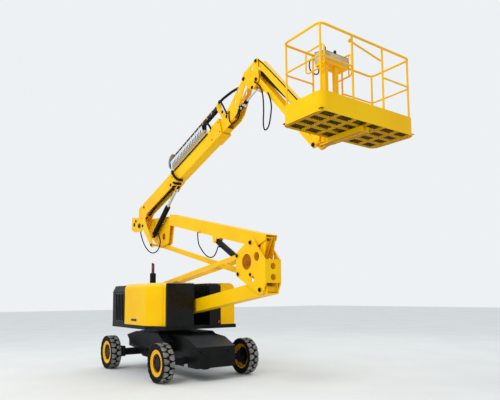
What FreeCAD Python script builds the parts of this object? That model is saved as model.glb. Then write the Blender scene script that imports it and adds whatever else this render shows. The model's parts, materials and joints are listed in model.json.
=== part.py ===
import FreeCAD, Part
import math
import os
from FreeCAD import Vector

# Articulating boom lift, all sizes in millimetres.
# While it is drawn, x = 0 is the slew axis, +X points to the platform, +Y is the machine's left,
# z = 0 is the ground. At the end everything moves along x so that the origin lies under the
# middle of the whole machine.

# Wheels and axles
wheelbase = 2550.0
overall_width = 2128.0
tyre_radius = 366.0
tyre_width = 235.0
bead_radius = 250.0
rim_width = 170.0
hub_radius = 105.0
hub_cover_radius = 125.0
hub_reach = 74.0
rim_dish = 3.0
lug_count = 18
lug_height = 26.0
lug_reach = 46.0
axle_tube_radius = 62.0
diff_radius = 205.0
kingpin_inset = 245.0
steer_arm = 200.0
steer_eye_drop = 84.0
face_inset = 190.0
wheel_face = overall_width / 2.0 - face_inset
hub_gap = 6.0
tie_rod_radius = 16.0

# Chassis and turntable
frame_half_width = 430.0
shoulder_half_width = 655.0
frame_top = 855.0
frame_low = 290.0
frame_nose = 430.0
frame_tail = 205.0
frame_front = wheelbase / 2.0 + frame_nose
frame_rear = wheelbase / 2.0 + frame_tail
axle_step = 560.0
frame_wall = 12.0
frame_floor = 560.0
tie_eye_x = 20.0
tie_eye_y = 300.0
tie_eye_z = 545.0
tie_eye_radius = 14.0
tie_eye_half = 38.0
ring_radius = 325.0
ring_gap = 4.0
deck_low = 950.0
deck_thick = 70.0
deck_half_width = 1000.0
deck_front = 1170.0
deck_rear = 1190.0
hood_top = 1866.0
hood_front = 1100.0
cover_step = 6.0
hood_chamfer_x = 430.0
hood_chamfer_y = 220.0
hood_round = 115.0
hood_inner = 205.0
hood_wall = 12.0
door_line = 800.0
door_gap = 6.0
left_cover_edge = 444.0
left_cover_round = 90.0
liner_inner = 184.0
liner_thick = 12.0
tail_cover_x = 380.0
cover_inner = 160.0
counterweight_front = 900.0
engine_length = 660.0
engine_height = 520.0
engine_outer_gap = 280.0
engine_inner_gap = 85.0
exhaust_x = 150.0
exhaust_y = -600.0

# Tower: two parallelograms joined by the elbow frame
lower_pivot = (100.0, 1236.0)
lower_length = 3256.0
lower_angle = 8.0
lower_link_offset = (-657.0, 607.0)
elbow_rise = (-258.0, 806.0)
upper_length = 3574.0
upper_angle = 13.3
upper_link_offset = (-371.0, -523.0)
riser_half_width = 120.0
riser_depth = 245.0
riser_wall = 10.0
lower_riser_rise = 38.0
upper_riser_rise = 65.0
upper_riser_nose = 335.0
top_slot = 320.0
link_depth = 80.0
link_inner = 126.0
link_outer = 140.0
upper_link_depth = 100.0
upper_link_inner = 50.0
upper_link_outer = 112.0
elbow_plate_in = 146.0
elbow_plate = 22.0
pin_radius = 30.0
pin_gap = 0.05
side_gap = 6.0

# Main boom, seen in its own frame: along the tube and square to it, from the boom pivot
boom_y = -80.0
lift_y = -60.0
tower_cylinder_y = -52.0
timing_y = 45.0
timing_wide = 97.0
timing_wall = 12.0
tower_lug = 62.0
hose_plane = 160.0
lift_lug = 40.0
main_pivot_offset = (-1060.0, 3.0)
boom_angle = 17.8
boom_low = 142.0
boom_depth = 315.0
boom_half_width = 95.0
boom_wall = 8.0
boom_start = 16.0
boom_end = 3880.0
belly_start = 276.0
belly_end = 1850.0
fly_depth = 276.0
fly_half_width = 78.0
fly_start = 1990.0
fly_end = 4330.0
knuckle_pin = (4829.0, 663.0)
boom_top = boom_low + boom_depth
collar_start = 1800.0
collar_length = 190.0

# Hose chain and its trays on the boom
tray_floor = boom_top + 100.0
tray_side = 200.0
tray_start = 1690.0
tray_end = 3230.0
tray_half_width = 60.0
tray_wall = 5.0
tray_top = 890.0
chain_top = 830.0
chain_low = 575.0
chain_link = 60.0
chain_pitch = 104.0
chain_half_width = 42.0
chain_rear = 1722.0
chain_end = 3804.0
chain_low_end = 3150.0
duct_start = collar_start + collar_length + 10.0
duct_end = 3400.0
duct_low = 424.0
duct_top = 526.0
duct_depth = 48.0

# Jib and platform
jib_front_pin = (381.0, -145.0)
jib_pin_rise = 328.0
jib_length = 2024.0
jib_angle = -47.6
jib_depth = 100.0
jib_half_width = 82.0
jib_cylinder_rise = 140.0
jib_lug_in = 44.0
rotator_ahead = 122.0
platform_behind = 135.0
platform_width = 1830.0
platform_depth = 760.0
floor_above_pin = 40.0
toe_height = 262.0
rail_height = 1155.0
rail_tube = 32.0
post_tube = 29.0
corner_round = 110.0
rail_inset = 28.0
gate_posts = (-314.0, 282.0)
rear_posts = (-350.0, 235.0)
gate_drop = 105.0
bar_tube = 25.0
console_base = 1000.0
console_plate = 45.0
console_behind = 60.0
console_depth = 215.0
console_sides = (-350.0, 110.0)


def turn(angle):
    return math.cos(math.radians(angle)), math.sin(math.radians(angle))


def step_from(point, length, angle):
    c, s = turn(angle)
    return (point[0] + length * c, point[1] + length * s)


def add(point, offset):
    return (point[0] + offset[0], point[1] + offset[1])


def distance(a, b):
    return math.hypot(b[0] - a[0], b[1] - a[1])


def direction(a, b):
    return math.degrees(math.atan2(b[1] - a[1], b[0] - a[0]))


# Pin centres as (x, z), named by the two pieces that meet there
L_BASE = lower_pivot
L_ELBOW = step_from(L_BASE, lower_length, lower_angle)
LL_BASE = add(L_BASE, lower_link_offset)
LL_ELBOW = add(L_ELBOW, lower_link_offset)
U_ELBOW = add(L_ELBOW, elbow_rise)
U_TOP = step_from(U_ELBOW, upper_length, 180.0 - upper_angle)
UL_ELBOW = add(U_ELBOW, upper_link_offset)
UL_TOP = add(U_TOP, upper_link_offset)
M_PIVOT = add(U_TOP, main_pivot_offset)


def on_boom(s, t):
    """Point at s along the main boom and t square to it, from the boom pivot."""
    c, k = turn(boom_angle)
    return (M_PIVOT[0] + s * c - t * k, M_PIVOT[1] + s * k + t * c)


def boom_local(point):
    """The same point measured along the boom and square to it."""
    c, k = turn(boom_angle)
    dx, dz = point[0] - M_PIVOT[0], point[1] - M_PIVOT[1]
    return (dx * c + dz * k, dz * c - dx * k)


KNUCKLE = on_boom(*knuckle_pin)
J_LOW = add(KNUCKLE, jib_front_pin)
J_TOP = add(J_LOW, (-7.0, jib_pin_rise))
P_LOW = step_from(J_LOW, jib_length, jib_angle)
P_TOP = add(P_LOW, (J_TOP[0] - J_LOW[0], jib_pin_rise))
ROTATOR_X = P_LOW[0] + rotator_ahead
FLOOR_Z = P_LOW[1] + floor_above_pin
PLATFORM_REAR = ROTATOR_X + platform_behind
GATE_PIVOT = (PLATFORM_REAR + platform_depth - rail_inset - rail_tube - side_gap, FLOOR_Z + rail_height - 75.0)

# Cylinders and the timing link: base pin, eye pin, sizes
TIMING_TOP = add(U_ELBOW, (298.0, 66.0))
TIMING_LOW = step_from(L_ELBOW, 362.0, 150.0)
TOWER_BASE = add(step_from(U_ELBOW, 1270.0, 180.0 - upper_angle), (0.0, -140.0))
TOWER_EYE = add(L_ELBOW, (-275.0, 262.0))
LIFT_BASE = add(UL_TOP, (-198.0, 239.0))
LIFT_EYE = on_boom(1730.0, 98.0)
JIB_BASE = add(J_LOW, (0.0, jib_cylinder_rise))
SLAVE_BASE = on_boom(4180.0, 310.0)
SLAVE_EYE = add(J_LOW, (-123.0, -103.0))

# name: base pin, eye pin, middle y, barrel radius, rod radius, barrel length
CYLINDERS = {
    "tower": (TOWER_BASE, TOWER_EYE, tower_cylinder_y, 56.0, 32.0, 1090.0),
    "lift": (LIFT_BASE, LIFT_EYE, lift_y, 60.0, 34.0, 940.0),
    "jib": (JIB_BASE, P_TOP, boom_y, 38.0, 21.0, 1300.0),
    "level": (SLAVE_BASE, SLAVE_EYE, boom_y, 34.0, 19.0, 490.0),
}
cylinder_pin = 22.0
eye_width = 52.0
gland = 30.0
piston_length = 24.0
lug_gap = 6.0
lug_thick = 14.0
lug_in = eye_width / 2.0 + lug_gap



def box(x0, x1, y0, y1, z0, z1):
    return Part.makeBox(x1 - x0, y1 - y0, z1 - z0, Vector(x0, y0, z0))


def bar_y(point, y0, y1, radius):
    """Round bar along y, centred on a pin point."""
    return Part.makeCylinder(radius, y1 - y0, Vector(point[0], y0, point[1]), Vector(0, 1, 0))


def fuse(shapes):
    shapes = list(shapes)
    if len(shapes) == 1:
        return shapes[0]
    return shapes[0].multiFuse(shapes[1:]).removeSplitter()


def prism(points, y0, y1):
    """Straight-edged outline in the xz plane, carried along y."""
    wire = Part.makePolygon([Vector(x, y0, z) for x, z in points] + [Vector(points[0][0], y0, points[0][1])])
    return Part.Face(wire).extrude(Vector(0, y1 - y0, 0))


def plan(points, z0, z1):
    """Straight-edged outline in the xy plane, carried up."""
    wire = Part.makePolygon([Vector(x, y, z0) for x, y in points] + [Vector(points[0][0], points[0][1], z0)])
    return Part.Face(wire).extrude(Vector(0, 0, z1 - z0))


def lobed(corners, y0, y1):
    """Plate whose outline runs round circles (x, z, radius), listed counter-clockwise in x and z."""
    count = len(corners)
    tangents = []
    for i in range(count):
        x1, z1, r1 = corners[i]
        x2, z2, r2 = corners[(i + 1) % count]
        length = math.hypot(x2 - x1, z2 - z1)
        ux, uz = (x2 - x1) / length, (z2 - z1) / length
        lean = (r1 - r2) / length
        side = math.sqrt(1.0 - lean * lean)
        nx, nz = ux * lean + uz * side, uz * lean - ux * side
        tangents.append(((nx, nz), (x1 + r1 * nx, z1 + r1 * nz), (x2 + r2 * nx, z2 + r2 * nz)))
    edges = []
    for i in range(count):
        normal_in, _, arrive = tangents[i - 1]
        normal_out, leave, nxt = tangents[i]
        x, z, r = corners[i]
        if r > 0 and distance(arrive, leave) > 0.01:
            first = math.atan2(normal_in[1], normal_in[0])
            last = math.atan2(normal_out[1], normal_out[0])
            if last < first:
                last += 2.0 * math.pi
            half = (first + last) / 2.0
            top = Vector(x + r * math.cos(half), y0, z + r * math.sin(half))
            edges.append(Part.Arc(Vector(arrive[0], y0, arrive[1]), top, Vector(leave[0], y0, leave[1])).toShape())
        edges.append(Part.makeLine(Vector(leave[0], y0, leave[1]), Vector(nxt[0], y0, nxt[1])))
    face = Part.Face(Part.Wire(Part.__sortEdges__(edges)))
    return face.extrude(Vector(0, y1 - y0, 0))


def bent(points, radius, closed=False):
    """Wire through the points with a tangent arc at each corner."""
    count = len(points)
    corner = {}
    for i in range(count):
        if not closed and i in (0, count - 1):
            continue
        before, here, after = points[i - 1], points[i], points[(i + 1) % count]
        a, b = (before - here), (after - here)
        la, lb = a.Length, b.Length
        a, b = a / la, b / lb
        half = math.acos(max(-1.0, min(1.0, a.dot(b)))) / 2.0
        r = radius(la, lb, half) if callable(radius) else radius
        cut = r / math.tan(half)
        middle = a + b
        middle = middle / middle.Length
        reach = r / math.sin(half) - r
        corner[i] = (here + a * cut, here + middle * reach, here + b * cut)
    edges = []
    last = count if closed else count - 1
    for i in range(last):
        j = (i + 1) % count
        start = corner[i][2] if i in corner else points[i]
        end = corner[j][0] if j in corner else points[j]
        if (end - start).Length > 0.01:
            edges.append(Part.makeLine(start, end))
        if j in corner:
            edges.append(Part.Arc(*corner[j]).toShape())
    return Part.Wire(edges)


def pipe(points, diameter, radius, closed=False):
    """Round tube, solid inside, along a bent path."""
    if closed:
        half = (points[0] + points[-1]) / 2.0
        wire = bent([half] + points + [half], radius)
    else:
        wire = bent(points, radius)
    first = wire.OrderedEdges[0]
    start = first.valueAt(first.FirstParameter)
    heading = first.tangentAt(first.FirstParameter)
    ring = Part.Wire(Part.Edge(Part.Circle(start, heading, diameter / 2.0)))
    return wire.makePipeShell([ring], True, False)


def straight(a, b, diameter):
    return Part.makeCylinder(diameter / 2.0, (b - a).Length, a, b - a)


def lay(shape, point, angle, y=0.0):
    """Turn a shape drawn along +x from the origin to an angle in the xz plane, and place it."""
    out = shape.copy()
    out.rotate(Vector(0, 0, 0), Vector(0, -1, 0), angle)
    out.translate(Vector(point[0], y, point[1]))
    return out


def rect_tube(x0, x1, half_width, z0, z1, wall):
    """Square-cornered tube along x, open at both ends."""
    outer = box(x0, x1, -half_width, half_width, z0, z1)
    inner = box(x0 - 1, x1 + 1, wall - half_width, half_width - wall, z0 + wall, z1 - wall)
    return outer.cut(inner)


def mirrored(shape):
    return shape.mirror(Vector(0, 0, 0), Vector(0, 1, 0))


# Chassis

def chassis_frame():
    half = wheelbase / 2.0
    profile = [(frame_front, frame_low - 40), (frame_front, 640), (half + 60, frame_top - 60),
               (half - 500, frame_top), (500 - half, frame_top), (-half + 40, frame_top - 120),
               (-frame_rear, 600), (-frame_rear, 470), (-half - 60, 455), (300 - half, 430),
               (axle_step - half, frame_low), (half - axle_step, frame_low - 40)]
    outer = prism(profile, -frame_half_width, frame_half_width)
    inner = box(-frame_rear + frame_wall, frame_front - frame_wall, frame_wall - frame_half_width,
                frame_half_width - frame_wall, 0.0, frame_floor)
    slot = box(half - 80, half + 80, -frame_half_width - 5, frame_half_width + 5, 0.0, tyre_radius + 80)
    body = outer.cut(fuse([inner, slot]))
    shoulder = prism([(820, 500), (820, 690), (520, frame_top), (-560, frame_top), (-1040, 760),
                      (-1040, 700), (-820, 560)], -shoulder_half_width, shoulder_half_width)
    hollow = prism([(780, 480), (780, 650), (500, frame_top - 30), (-540, frame_top - 30), (-780, 620),
                    (-780, 480)], frame_wall - shoulder_half_width, shoulder_half_width - frame_wall)
    core = box(-900, 900, -frame_half_width + 1, frame_half_width - 1, 400, frame_top - 10)
    shoulder = shoulder.cut(hollow.cut(core))
    body = fuse([body, shoulder])
    arch = []
    for side in (-1, 1):
        drum = Part.makeCylinder(tyre_radius + 70, 400, Vector(-half, 0, tyre_radius), Vector(0, side, 0))
        drum.translate(Vector(0, side * (frame_half_width + 40), 0))
        arch.append(drum)
    seat = Part.makeCylinder(ring_radius + 60, 30, Vector(0, 0, frame_top - 12))
    eyes = []
    for x, out in ((frame_front, 1), (-frame_rear, -1)):
        for y in (-tie_eye_y, tie_eye_y):
            x0, x1 = sorted((x - out, x + out * 2 * tie_eye_x))
            lug = box(x0, x1, y - tie_eye_half, y + tie_eye_half, tie_eye_z - 12, tie_eye_z + 12)
            hole = Part.makeCylinder(tie_eye_radius, 40, Vector(x + out * tie_eye_x, y, tie_eye_z - 20))
            eyes.append(lug.cut(hole))
    return fuse([body.cut(fuse(arch)), seat, slew_ring()] + eyes)


def drive_axle():
    half = wheelbase / 2.0
    inner_face = wheel_face - 25
    tube = bar_y((half, tyre_radius), -inner_face, inner_face, axle_tube_radius)
    bowl = Part.makeSphere(diff_radius, Vector(half, 0, tyre_radius))
    bowl = bowl.common(box(half - 165, half + 165, -170, 170, tyre_radius - diff_radius, tyre_radius + 130))
    ends = [bar_y((half, tyre_radius), s * inner_face - 25, s * inner_face + 25, 120) for s in (-1, 1)]
    shaft = Part.makeCylinder(45, 420, Vector(half - 150, 0, tyre_radius), Vector(-1, 0, 0))
    pads = [box(half - 70, half + 70, s * 330 - 45, s * 330 + 45, tyre_radius, frame_floor) for s in (-1, 1)]
    pads = [p.cut(box(half - 200, half + 200, -500, 500, 0, tyre_radius)) for p in pads]
    return fuse([tube, bowl, shaft] + ends + pads)


def steer_axle():
    half = wheelbase / 2.0
    pin_y = overall_width / 2.0 - tyre_width / 2.0 - kingpin_inset
    beam = box(-half - 55, -half + 55, -pin_y + 70, pin_y - 70, tyre_radius - 60, tyre_radius + 60)
    web = prism([(-half - 45, tyre_radius), (-half + 45, tyre_radius), (-half + 45, frame_floor),
                 (-half - 45, frame_floor)],
                -260, 260)
    forks = []
    for side in (-1, 1):
        y = side * pin_y
        for z0 in (tyre_radius - 115, tyre_radius + 85):
            forks.append(Part.makeCylinder(52, 30, Vector(-half, y, z0)))
            arm = box(-half - 52, -half + 52, min(y, y - side * 80), max(y, y - side * 80), z0, z0 + 30)
            forks.append(arm)
        cheek = box(-half - 52, -half + 52, min(y - side * 80, y - side * 62), max(y - side * 80, y - side * 62),
                    tyre_radius - 115, tyre_radius + 115)
        forks.append(cheek)
        forks.append(Part.makeCylinder(20, 246, Vector(-half, y, tyre_radius - 123)))
    return fuse([beam, web] + forks)


def knuckle(side):
    half = wheelbase / 2.0
    pin_y = side * (overall_width / 2.0 - tyre_width / 2.0 - kingpin_inset)
    body = Part.makeCylinder(48, 168, Vector(-half, pin_y, tyre_radius - 84))
    face_y = side * wheel_face
    spindle = bar_y((-half, tyre_radius), min(pin_y, face_y), max(pin_y, face_y), 58)
    flange = bar_y((-half, tyre_radius), min(face_y, face_y - side * 40), max(face_y, face_y - side * 40), 118)
    arm_z = tyre_radius - steer_eye_drop
    arm = box(-half - steer_arm, -half, pin_y - 16, pin_y + 16, arm_z, arm_z + 30)
    eye = Part.makeCylinder(30, 30, Vector(-half - steer_arm, pin_y, arm_z))
    shape = fuse([body, spindle, flange, arm, eye])
    return shape.cut(Part.makeCylinder(20 + pin_gap, 400, Vector(-half, pin_y, tyre_radius - 200)))


def tie_rod():
    half = wheelbase / 2.0
    pin_y = overall_width / 2.0 - tyre_width / 2.0 - kingpin_inset
    z = tyre_radius - steer_eye_drop - side_gap - 14
    rod = Part.makeCylinder(tie_rod_radius, 2 * pin_y, Vector(-half - steer_arm, -pin_y, z), Vector(0, 1, 0))
    ends = [Part.makeCylinder(28, 28, Vector(-half - steer_arm, s * pin_y, z - 14)) for s in (-1, 1)]
    return fuse([rod] + ends)


def wheel_place(end, side):
    x = wheelbase / 2.0 * end
    return Vector(x, side * (overall_width - tyre_width) / 2.0, tyre_radius)


def revolve_y(points, centre):
    """Turn an outline of (y, radius) points round the wheel's axis."""
    wire = Part.makePolygon([Vector(0, y, r) for y, r in points] + [Vector(0, points[0][0], points[0][1])])
    solid = Part.Face(wire).revolve(Vector(0, 0, 0), Vector(0, 1, 0), 360)
    solid.translate(centre)
    return solid


def ring_of(sides, y, apothem):
    """Closed polygon round the wheel's axis, its sides at the given distance from it."""
    r = apothem / math.cos(math.pi / sides)
    step = 2.0 * math.pi / sides
    points = [Vector(r * math.sin((i + 0.5) * step), y, r * math.cos((i + 0.5) * step)) for i in range(sides)]
    return Part.makePolygon(points + points[:1])


def lugged_tyre():
    """Flat-sided carcass with two rows of staggered lugs, centred on the origin."""
    w = tyre_width / 2.0
    groove = tyre_radius - lug_height
    sections = [(-w, groove - 46), (-w + 14, groove), (w - 14, groove), (w, groove - 46)]
    body = Part.makeLoft([ring_of(lug_count, y, r) for y, r in sections], True, True)
    bore = Part.Face(ring_of(lug_count, -w - 1, bead_radius)).extrude(Vector(0, 2 * w + 2, 0))
    crown = math.sqrt(tyre_radius ** 2 - lug_reach ** 2)
    outline = [(-38, w - 4), (22, w - 4), (lug_reach, 8), (0, 8)]
    lug = plan(outline, groove - 10, crown)
    other = mirrored(lug)
    lugs = []
    for i in range(lug_count):
        for row, piece in ((0.0, lug), (0.5, other)):
            turned = piece.copy()
            turned.rotate(Vector(0, 0, 0), Vector(0, 1, 0), (i + row) * 360.0 / lug_count)
            lugs.append(turned)
    shape = body.cut(bore).fuse(lugs)
    lean = math.degrees(math.atan2(lug_reach, crown))
    shape.rotate(Vector(0, 0, 0), Vector(0, 1, 0), -lean)
    return shape


def tyres():
    right = lugged_tyre()
    left = mirrored(right)
    shapes = {}
    for end, side, name in wheel_names():
        shape = (right if side < 0 else left).copy()
        shape.translate(wheel_place(end, side))
        shapes["tyre_" + name] = shape
    return shapes


def rim(end, side):
    w = rim_width / 2.0
    out = side
    ring = [(-w, bead_radius - 0.3), (w, bead_radius - 0.3), (w, bead_radius - 22), (20, bead_radius - 40),
            (-20, bead_radius - 40), (-w, bead_radius - 22)]
    disc = [(out * (rim_dish - 15), 60), (out * (rim_dish - 15), bead_radius - 30),
            (out * rim_dish, bead_radius - 30), (out * rim_dish, 60)]
    centre = wheel_place(end, side)
    back = out * (wheel_face + hub_gap - abs(centre.y))
    hub = [(back, 0), (back, hub_radius), (out * (rim_dish - 5), hub_radius),
           (out * (rim_dish - 5), hub_cover_radius), (out * (hub_reach - 14), hub_cover_radius),
           (out * hub_reach, hub_cover_radius - 30), (out * hub_reach, 0)]
    return fuse([revolve_y(outline, centre) for outline in (ring, disc, hub)])


def slew_ring():
    low = frame_top + 10
    ring = Part.makeCylinder(ring_radius, deck_low - ring_gap - low, Vector(0, 0, low))
    return ring.cut(Part.makeCylinder(ring_radius - 70, 200, Vector(0, 0, low + 9)))


# Turntable

def deck():
    f, r, h = deck_front, deck_rear, deck_half_width
    corner = h - hood_chamfer_y + 35
    outline = [(-r + 120, -h), (hood_front - hood_chamfer_x, -h), (f, -corner), (f, corner),
               (hood_front - hood_chamfer_x, h), (-r + 120, h), (-r, h - 160), (-r, -h + 160)]
    plate = plan(outline, deck_low, deck_low + deck_thick)
    top = deck_low + deck_thick
    x, z = L_BASE
    lx, lz = LL_BASE
    y0 = elbow_plate_in
    side = lobed([(x - 420, top - 20, 0), (x + 260, top - 20, 0), (x, z, 75), (lx, lz, 70),
                  (lx - 150, top - 20, 0)], y0, y0 + elbow_plate)
    side = side.cut(lobed([(-420, top + 120, 40), (-220, top + 120, 40), (-330, top + 380, 50)],
                          y0 - 5, y0 + elbow_plate + 5))
    posts = [side, mirrored(side)]
    pins = [bar_y(L_BASE, -y0 - elbow_plate - 10, y0 + elbow_plate + 10, pin_radius),
            bar_y(LL_BASE, -y0 - elbow_plate - 10, y0 + elbow_plate + 10, pin_radius)]
    tie = box(lx - 60, lx + 60, -y0, y0, top - 10, top + 220)
    hub = Part.makeCylinder(ring_radius - 80, deck_low - frame_top - 30, Vector(0, 0, frame_top + 30))
    return fuse([plate, tie, hub] + posts + pins)


def hood_envelope(inset, front):
    f, h = front - inset, deck_half_width - inset
    rear = -tail_cover_x + door_gap
    low = deck_low + deck_thick + door_gap
    top = hood_top - inset
    outline = [(rear, -h), (front - hood_chamfer_x - inset * 0.3, -h),
               (f, -h + hood_chamfer_y + inset * 0.3), (f, -hood_inner), (rear, -hood_inner)]
    solid = plan(outline, low, top)
    edges = []
    for edge in solid.Edges:
        c = edge.CenterOfMass
        if abs(c.z - top) < 1 and (c.y < -hood_inner - 100) and c.x > rear + 10:
            if not (abs(c.x - f) < 1):
                edges.append(edge)
    return solid.makeFillet(max(hood_round - inset, 30), edges)


def hood_shell(front):
    outer = hood_envelope(0.0, front)
    inner = hood_envelope(hood_wall, front)
    inner = fuse([inner, box(-tail_cover_x + door_gap - 1, -tail_cover_x + 60, hood_wall - door_line - 100,
                             -hood_inner - hood_wall, deck_low, hood_top - hood_round)])
    inner = inner.cut(box(-deck_rear, 2 * deck_front, -hood_inner - hood_wall, 0, 0, 2 * hood_top))
    return outer.cut(inner)


def hood_nose(side):
    """The right hood stops behind its black front cover, the left one comes forward beside it."""
    return hood_front if side < 0 else deck_front - cover_step


def hood(side):
    front = hood_nose(side)
    shell = hood_shell(front).common(box(-deck_rear, 2 * deck_front, -door_line, 0, 0, 2 * hood_top))
    low = deck_low + deck_thick
    bulkhead = box(-tail_cover_x + door_gap, -tail_cover_x + door_gap + 10, -door_line, -hood_inner,
                   low + door_gap, hood_top - 40)
    sill = box(-tail_cover_x + 20, hood_front - 60, -hood_inner - 30, -hood_inner - 2, low, low + door_gap + 20)
    shape = fuse([shell, bulkhead, sill])
    if side > 0:
        edge = left_cover_edge + door_gap
        recess = box(hood_front, front + 1, -edge, 0, low, hood_top + 1)
        wall = box(hood_front - hood_wall, hood_front, -edge - hood_wall, -hood_inner, low + door_gap,
                   hood_top - hood_wall)
        cheek = box(hood_front - hood_wall, front - 1, -edge - hood_wall, -edge, low + door_gap,
                    hood_top - hood_wall)
        shape = fuse([shape.cut(recess), wall, cheek])
    return shape if side < 0 else mirrored(shape)


def door(side):
    cut_y = door_line + door_gap
    rear = -tail_cover_x + door_gap + 2
    shape = hood_shell(hood_nose(side)).common(box(rear, 2 * deck_front, -2 * cut_y, -cut_y, 0, 2 * hood_top))
    return shape if side < 0 else mirrored(shape)


def front_cover():
    """Black moulded covers on the front of both hoods, each with a liner along the riser's gap."""
    low, top = deck_low + deck_thick, hood_top - 5
    x0, x1 = hood_front + door_gap, deck_front - cover_step
    rear = -tail_cover_x + door_gap
    parts = []
    for side, outer, outer_round in ((-1, deck_half_width - hood_chamfer_y - 8, 30.0),
                                     (1, left_cover_edge, left_cover_round)):
        y0, y1 = sorted((side * liner_inner, side * outer))
        solid = box(x0, x1, y0, y1, low, top)
        side_edges = [e for e in solid.Edges if abs(e.CenterOfMass.z - top) < 1
                      and abs(e.CenterOfMass.y - side * outer) < 1]
        solid = solid.makeFillet(outer_round, side_edges)
        front_edges = [e for e in solid.Edges
                       if e.CenterOfMass.z > top - 1 and abs(e.CenterOfMass.x - x1) < 1]
        solid = solid.makeFillet(26, front_edges)
        hollow = box(x0 - 1, x1 - 10, y0 + 12, y1 - 12, low + 10, top - 100)
        ya, yb = sorted((side * liner_inner, side * (liner_inner + liner_thick)))
        liner = prism([(rear, low + 2), (x1 - 12, low + 2), (x1 - 12, top - 40), (x0 - 60, top - 4),
                       (rear, top - 4)], ya, yb)
        parts.append(fuse([solid.cut(hollow), liner]))
    return Part.makeCompound(parts)


def tail_cover():
    """Black ribbed side cover beside the counterweight, right side."""
    low, top = deck_low + deck_thick, hood_top - 25
    x0, x1 = -counterweight_front + 5, -tail_cover_x
    h = deck_half_width
    outline = [(-h, low), (-h, top - 130), (-h + 90, top), (-hood_inner, top), (-hood_inner, top - 12),
               (-h + 96, top - 12), (-h + 12, top - 135), (-h + 12, low)]
    wire = Part.makePolygon([Vector(x0, y, z) for y, z in outline] + [Vector(x0, outline[0][0], low)])
    skin = Part.Face(wire).extrude(Vector(x1 - x0, 0, 0))
    ribs = []
    count = 4
    pitch = (x1 - x0 - 40) / (count - 1)
    for i in range(count):
        x = x0 + i * pitch
        ribs.append(box(x, x + 40, -h, -h + 40, low, top - 140))
    return fuse([skin] + ribs)


def counterweight():
    low, top = deck_low + deck_thick, hood_top - 25
    x0, x1 = -deck_rear, -counterweight_front
    h = deck_half_width
    body = plan([(x0, -h + 170), (x0 + 130, -h), (x1, -h), (x1, h), (x0 + 130, h), (x0, h - 170)], low, top)
    for side in (-1, 1):
        wedge = prism([(x0 - 5, top - 130), (x0 + 5, top - 130), (x0 - 5, top + 5)], -h, h)
        body = body.cut(wedge)
        cutter = Part.makePolygon([Vector(x0 - 5, side * (h + 5), top - 130), Vector(x0 - 5, side * (h + 5), top + 5),
                                   Vector(x0 - 5, side * (h - 90), top + 5),
                                   Vector(x0 - 5, side * (h + 5), top - 130)])
        body = body.cut(Part.Face(cutter).extrude(Vector(x1 - x0 + 10, 0, 0)))
    notch = box(x0 - 5, x1 + 5, -hood_inner, hood_inner, low + 330, top + 5)
    return body.cut(notch)


def engine_block():
    low = deck_low + deck_thick
    return box(-engine_length / 2.0, engine_length / 2.0, engine_outer_gap - deck_half_width,
               -hood_inner - engine_inner_gap, low, low + engine_height)


def exhaust():
    can = Part.makeCylinder(62, 220, Vector(exhaust_x, exhaust_y, hood_top))
    pipe_up = Part.makeCylinder(30, 225, Vector(exhaust_x, exhaust_y, hood_top + 220))
    return fuse([can, pipe_up])


def deck_lamp():
    low = deck_low + deck_thick
    x = deck_front
    body = Part.makeCylinder(24, 22, Vector(x - 6, 386, low + 62), Vector(1, 0, 0))
    return body


# Tower

def riser(length, rise, start, end, wall=riser_wall):
    z0 = rise - riser_depth / 2.0
    return rect_tube(start, length + end, riser_half_width, z0, z0 + riser_depth, wall)


def lower_riser():
    y = riser_half_width + side_gap * 3
    tube = riser(lower_length, lower_riser_rise, -48, 120)
    bosses = [bar_y((0, 0), -y, y, 70), bar_y((lower_length, 0), -y, y, 70)]
    t = (TIMING_LOW[0] - L_BASE[0], TIMING_LOW[1] - L_BASE[1])
    c, s = turn(lower_angle)
    local = (t[0] * c + t[1] * s, -t[0] * s + t[1] * c)
    top = lower_riser_rise + riser_depth / 2.0
    lugs = [lobed([(local[0] - 90, top - 20, 0), (local[0] + 90, top - 20, 0), (local[0], local[1], 40)],
                  y0, y0 + lug_thick) for y0 in (timing_y - 17 - lug_thick, timing_y + 17)]
    shape = fuse([tube] + bosses + lugs)
    for x in (0, lower_length):
        shape = shape.cut(bar_y((x, 0), -300, 300, pin_radius + pin_gap))
    return lay(shape, L_BASE, lower_angle)


def lower_link():
    length = lower_length
    bars = []
    for side in (-1, 1):
        y0, y1 = sorted((side * link_inner, side * link_outer))
        bars.append(lobed([(0, 0, link_depth / 2.0), (length, 0, link_depth / 2.0)], y0, y1))
    tie = bar_y((560, 0), -link_inner - 1, link_inner + 1, 24)
    shape = fuse(bars + [tie])
    for x in (0, length):
        shape = shape.cut(bar_y((x, 0), -200, 200, pin_radius + pin_gap))
    return lay(shape, LL_BASE, lower_angle)


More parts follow.
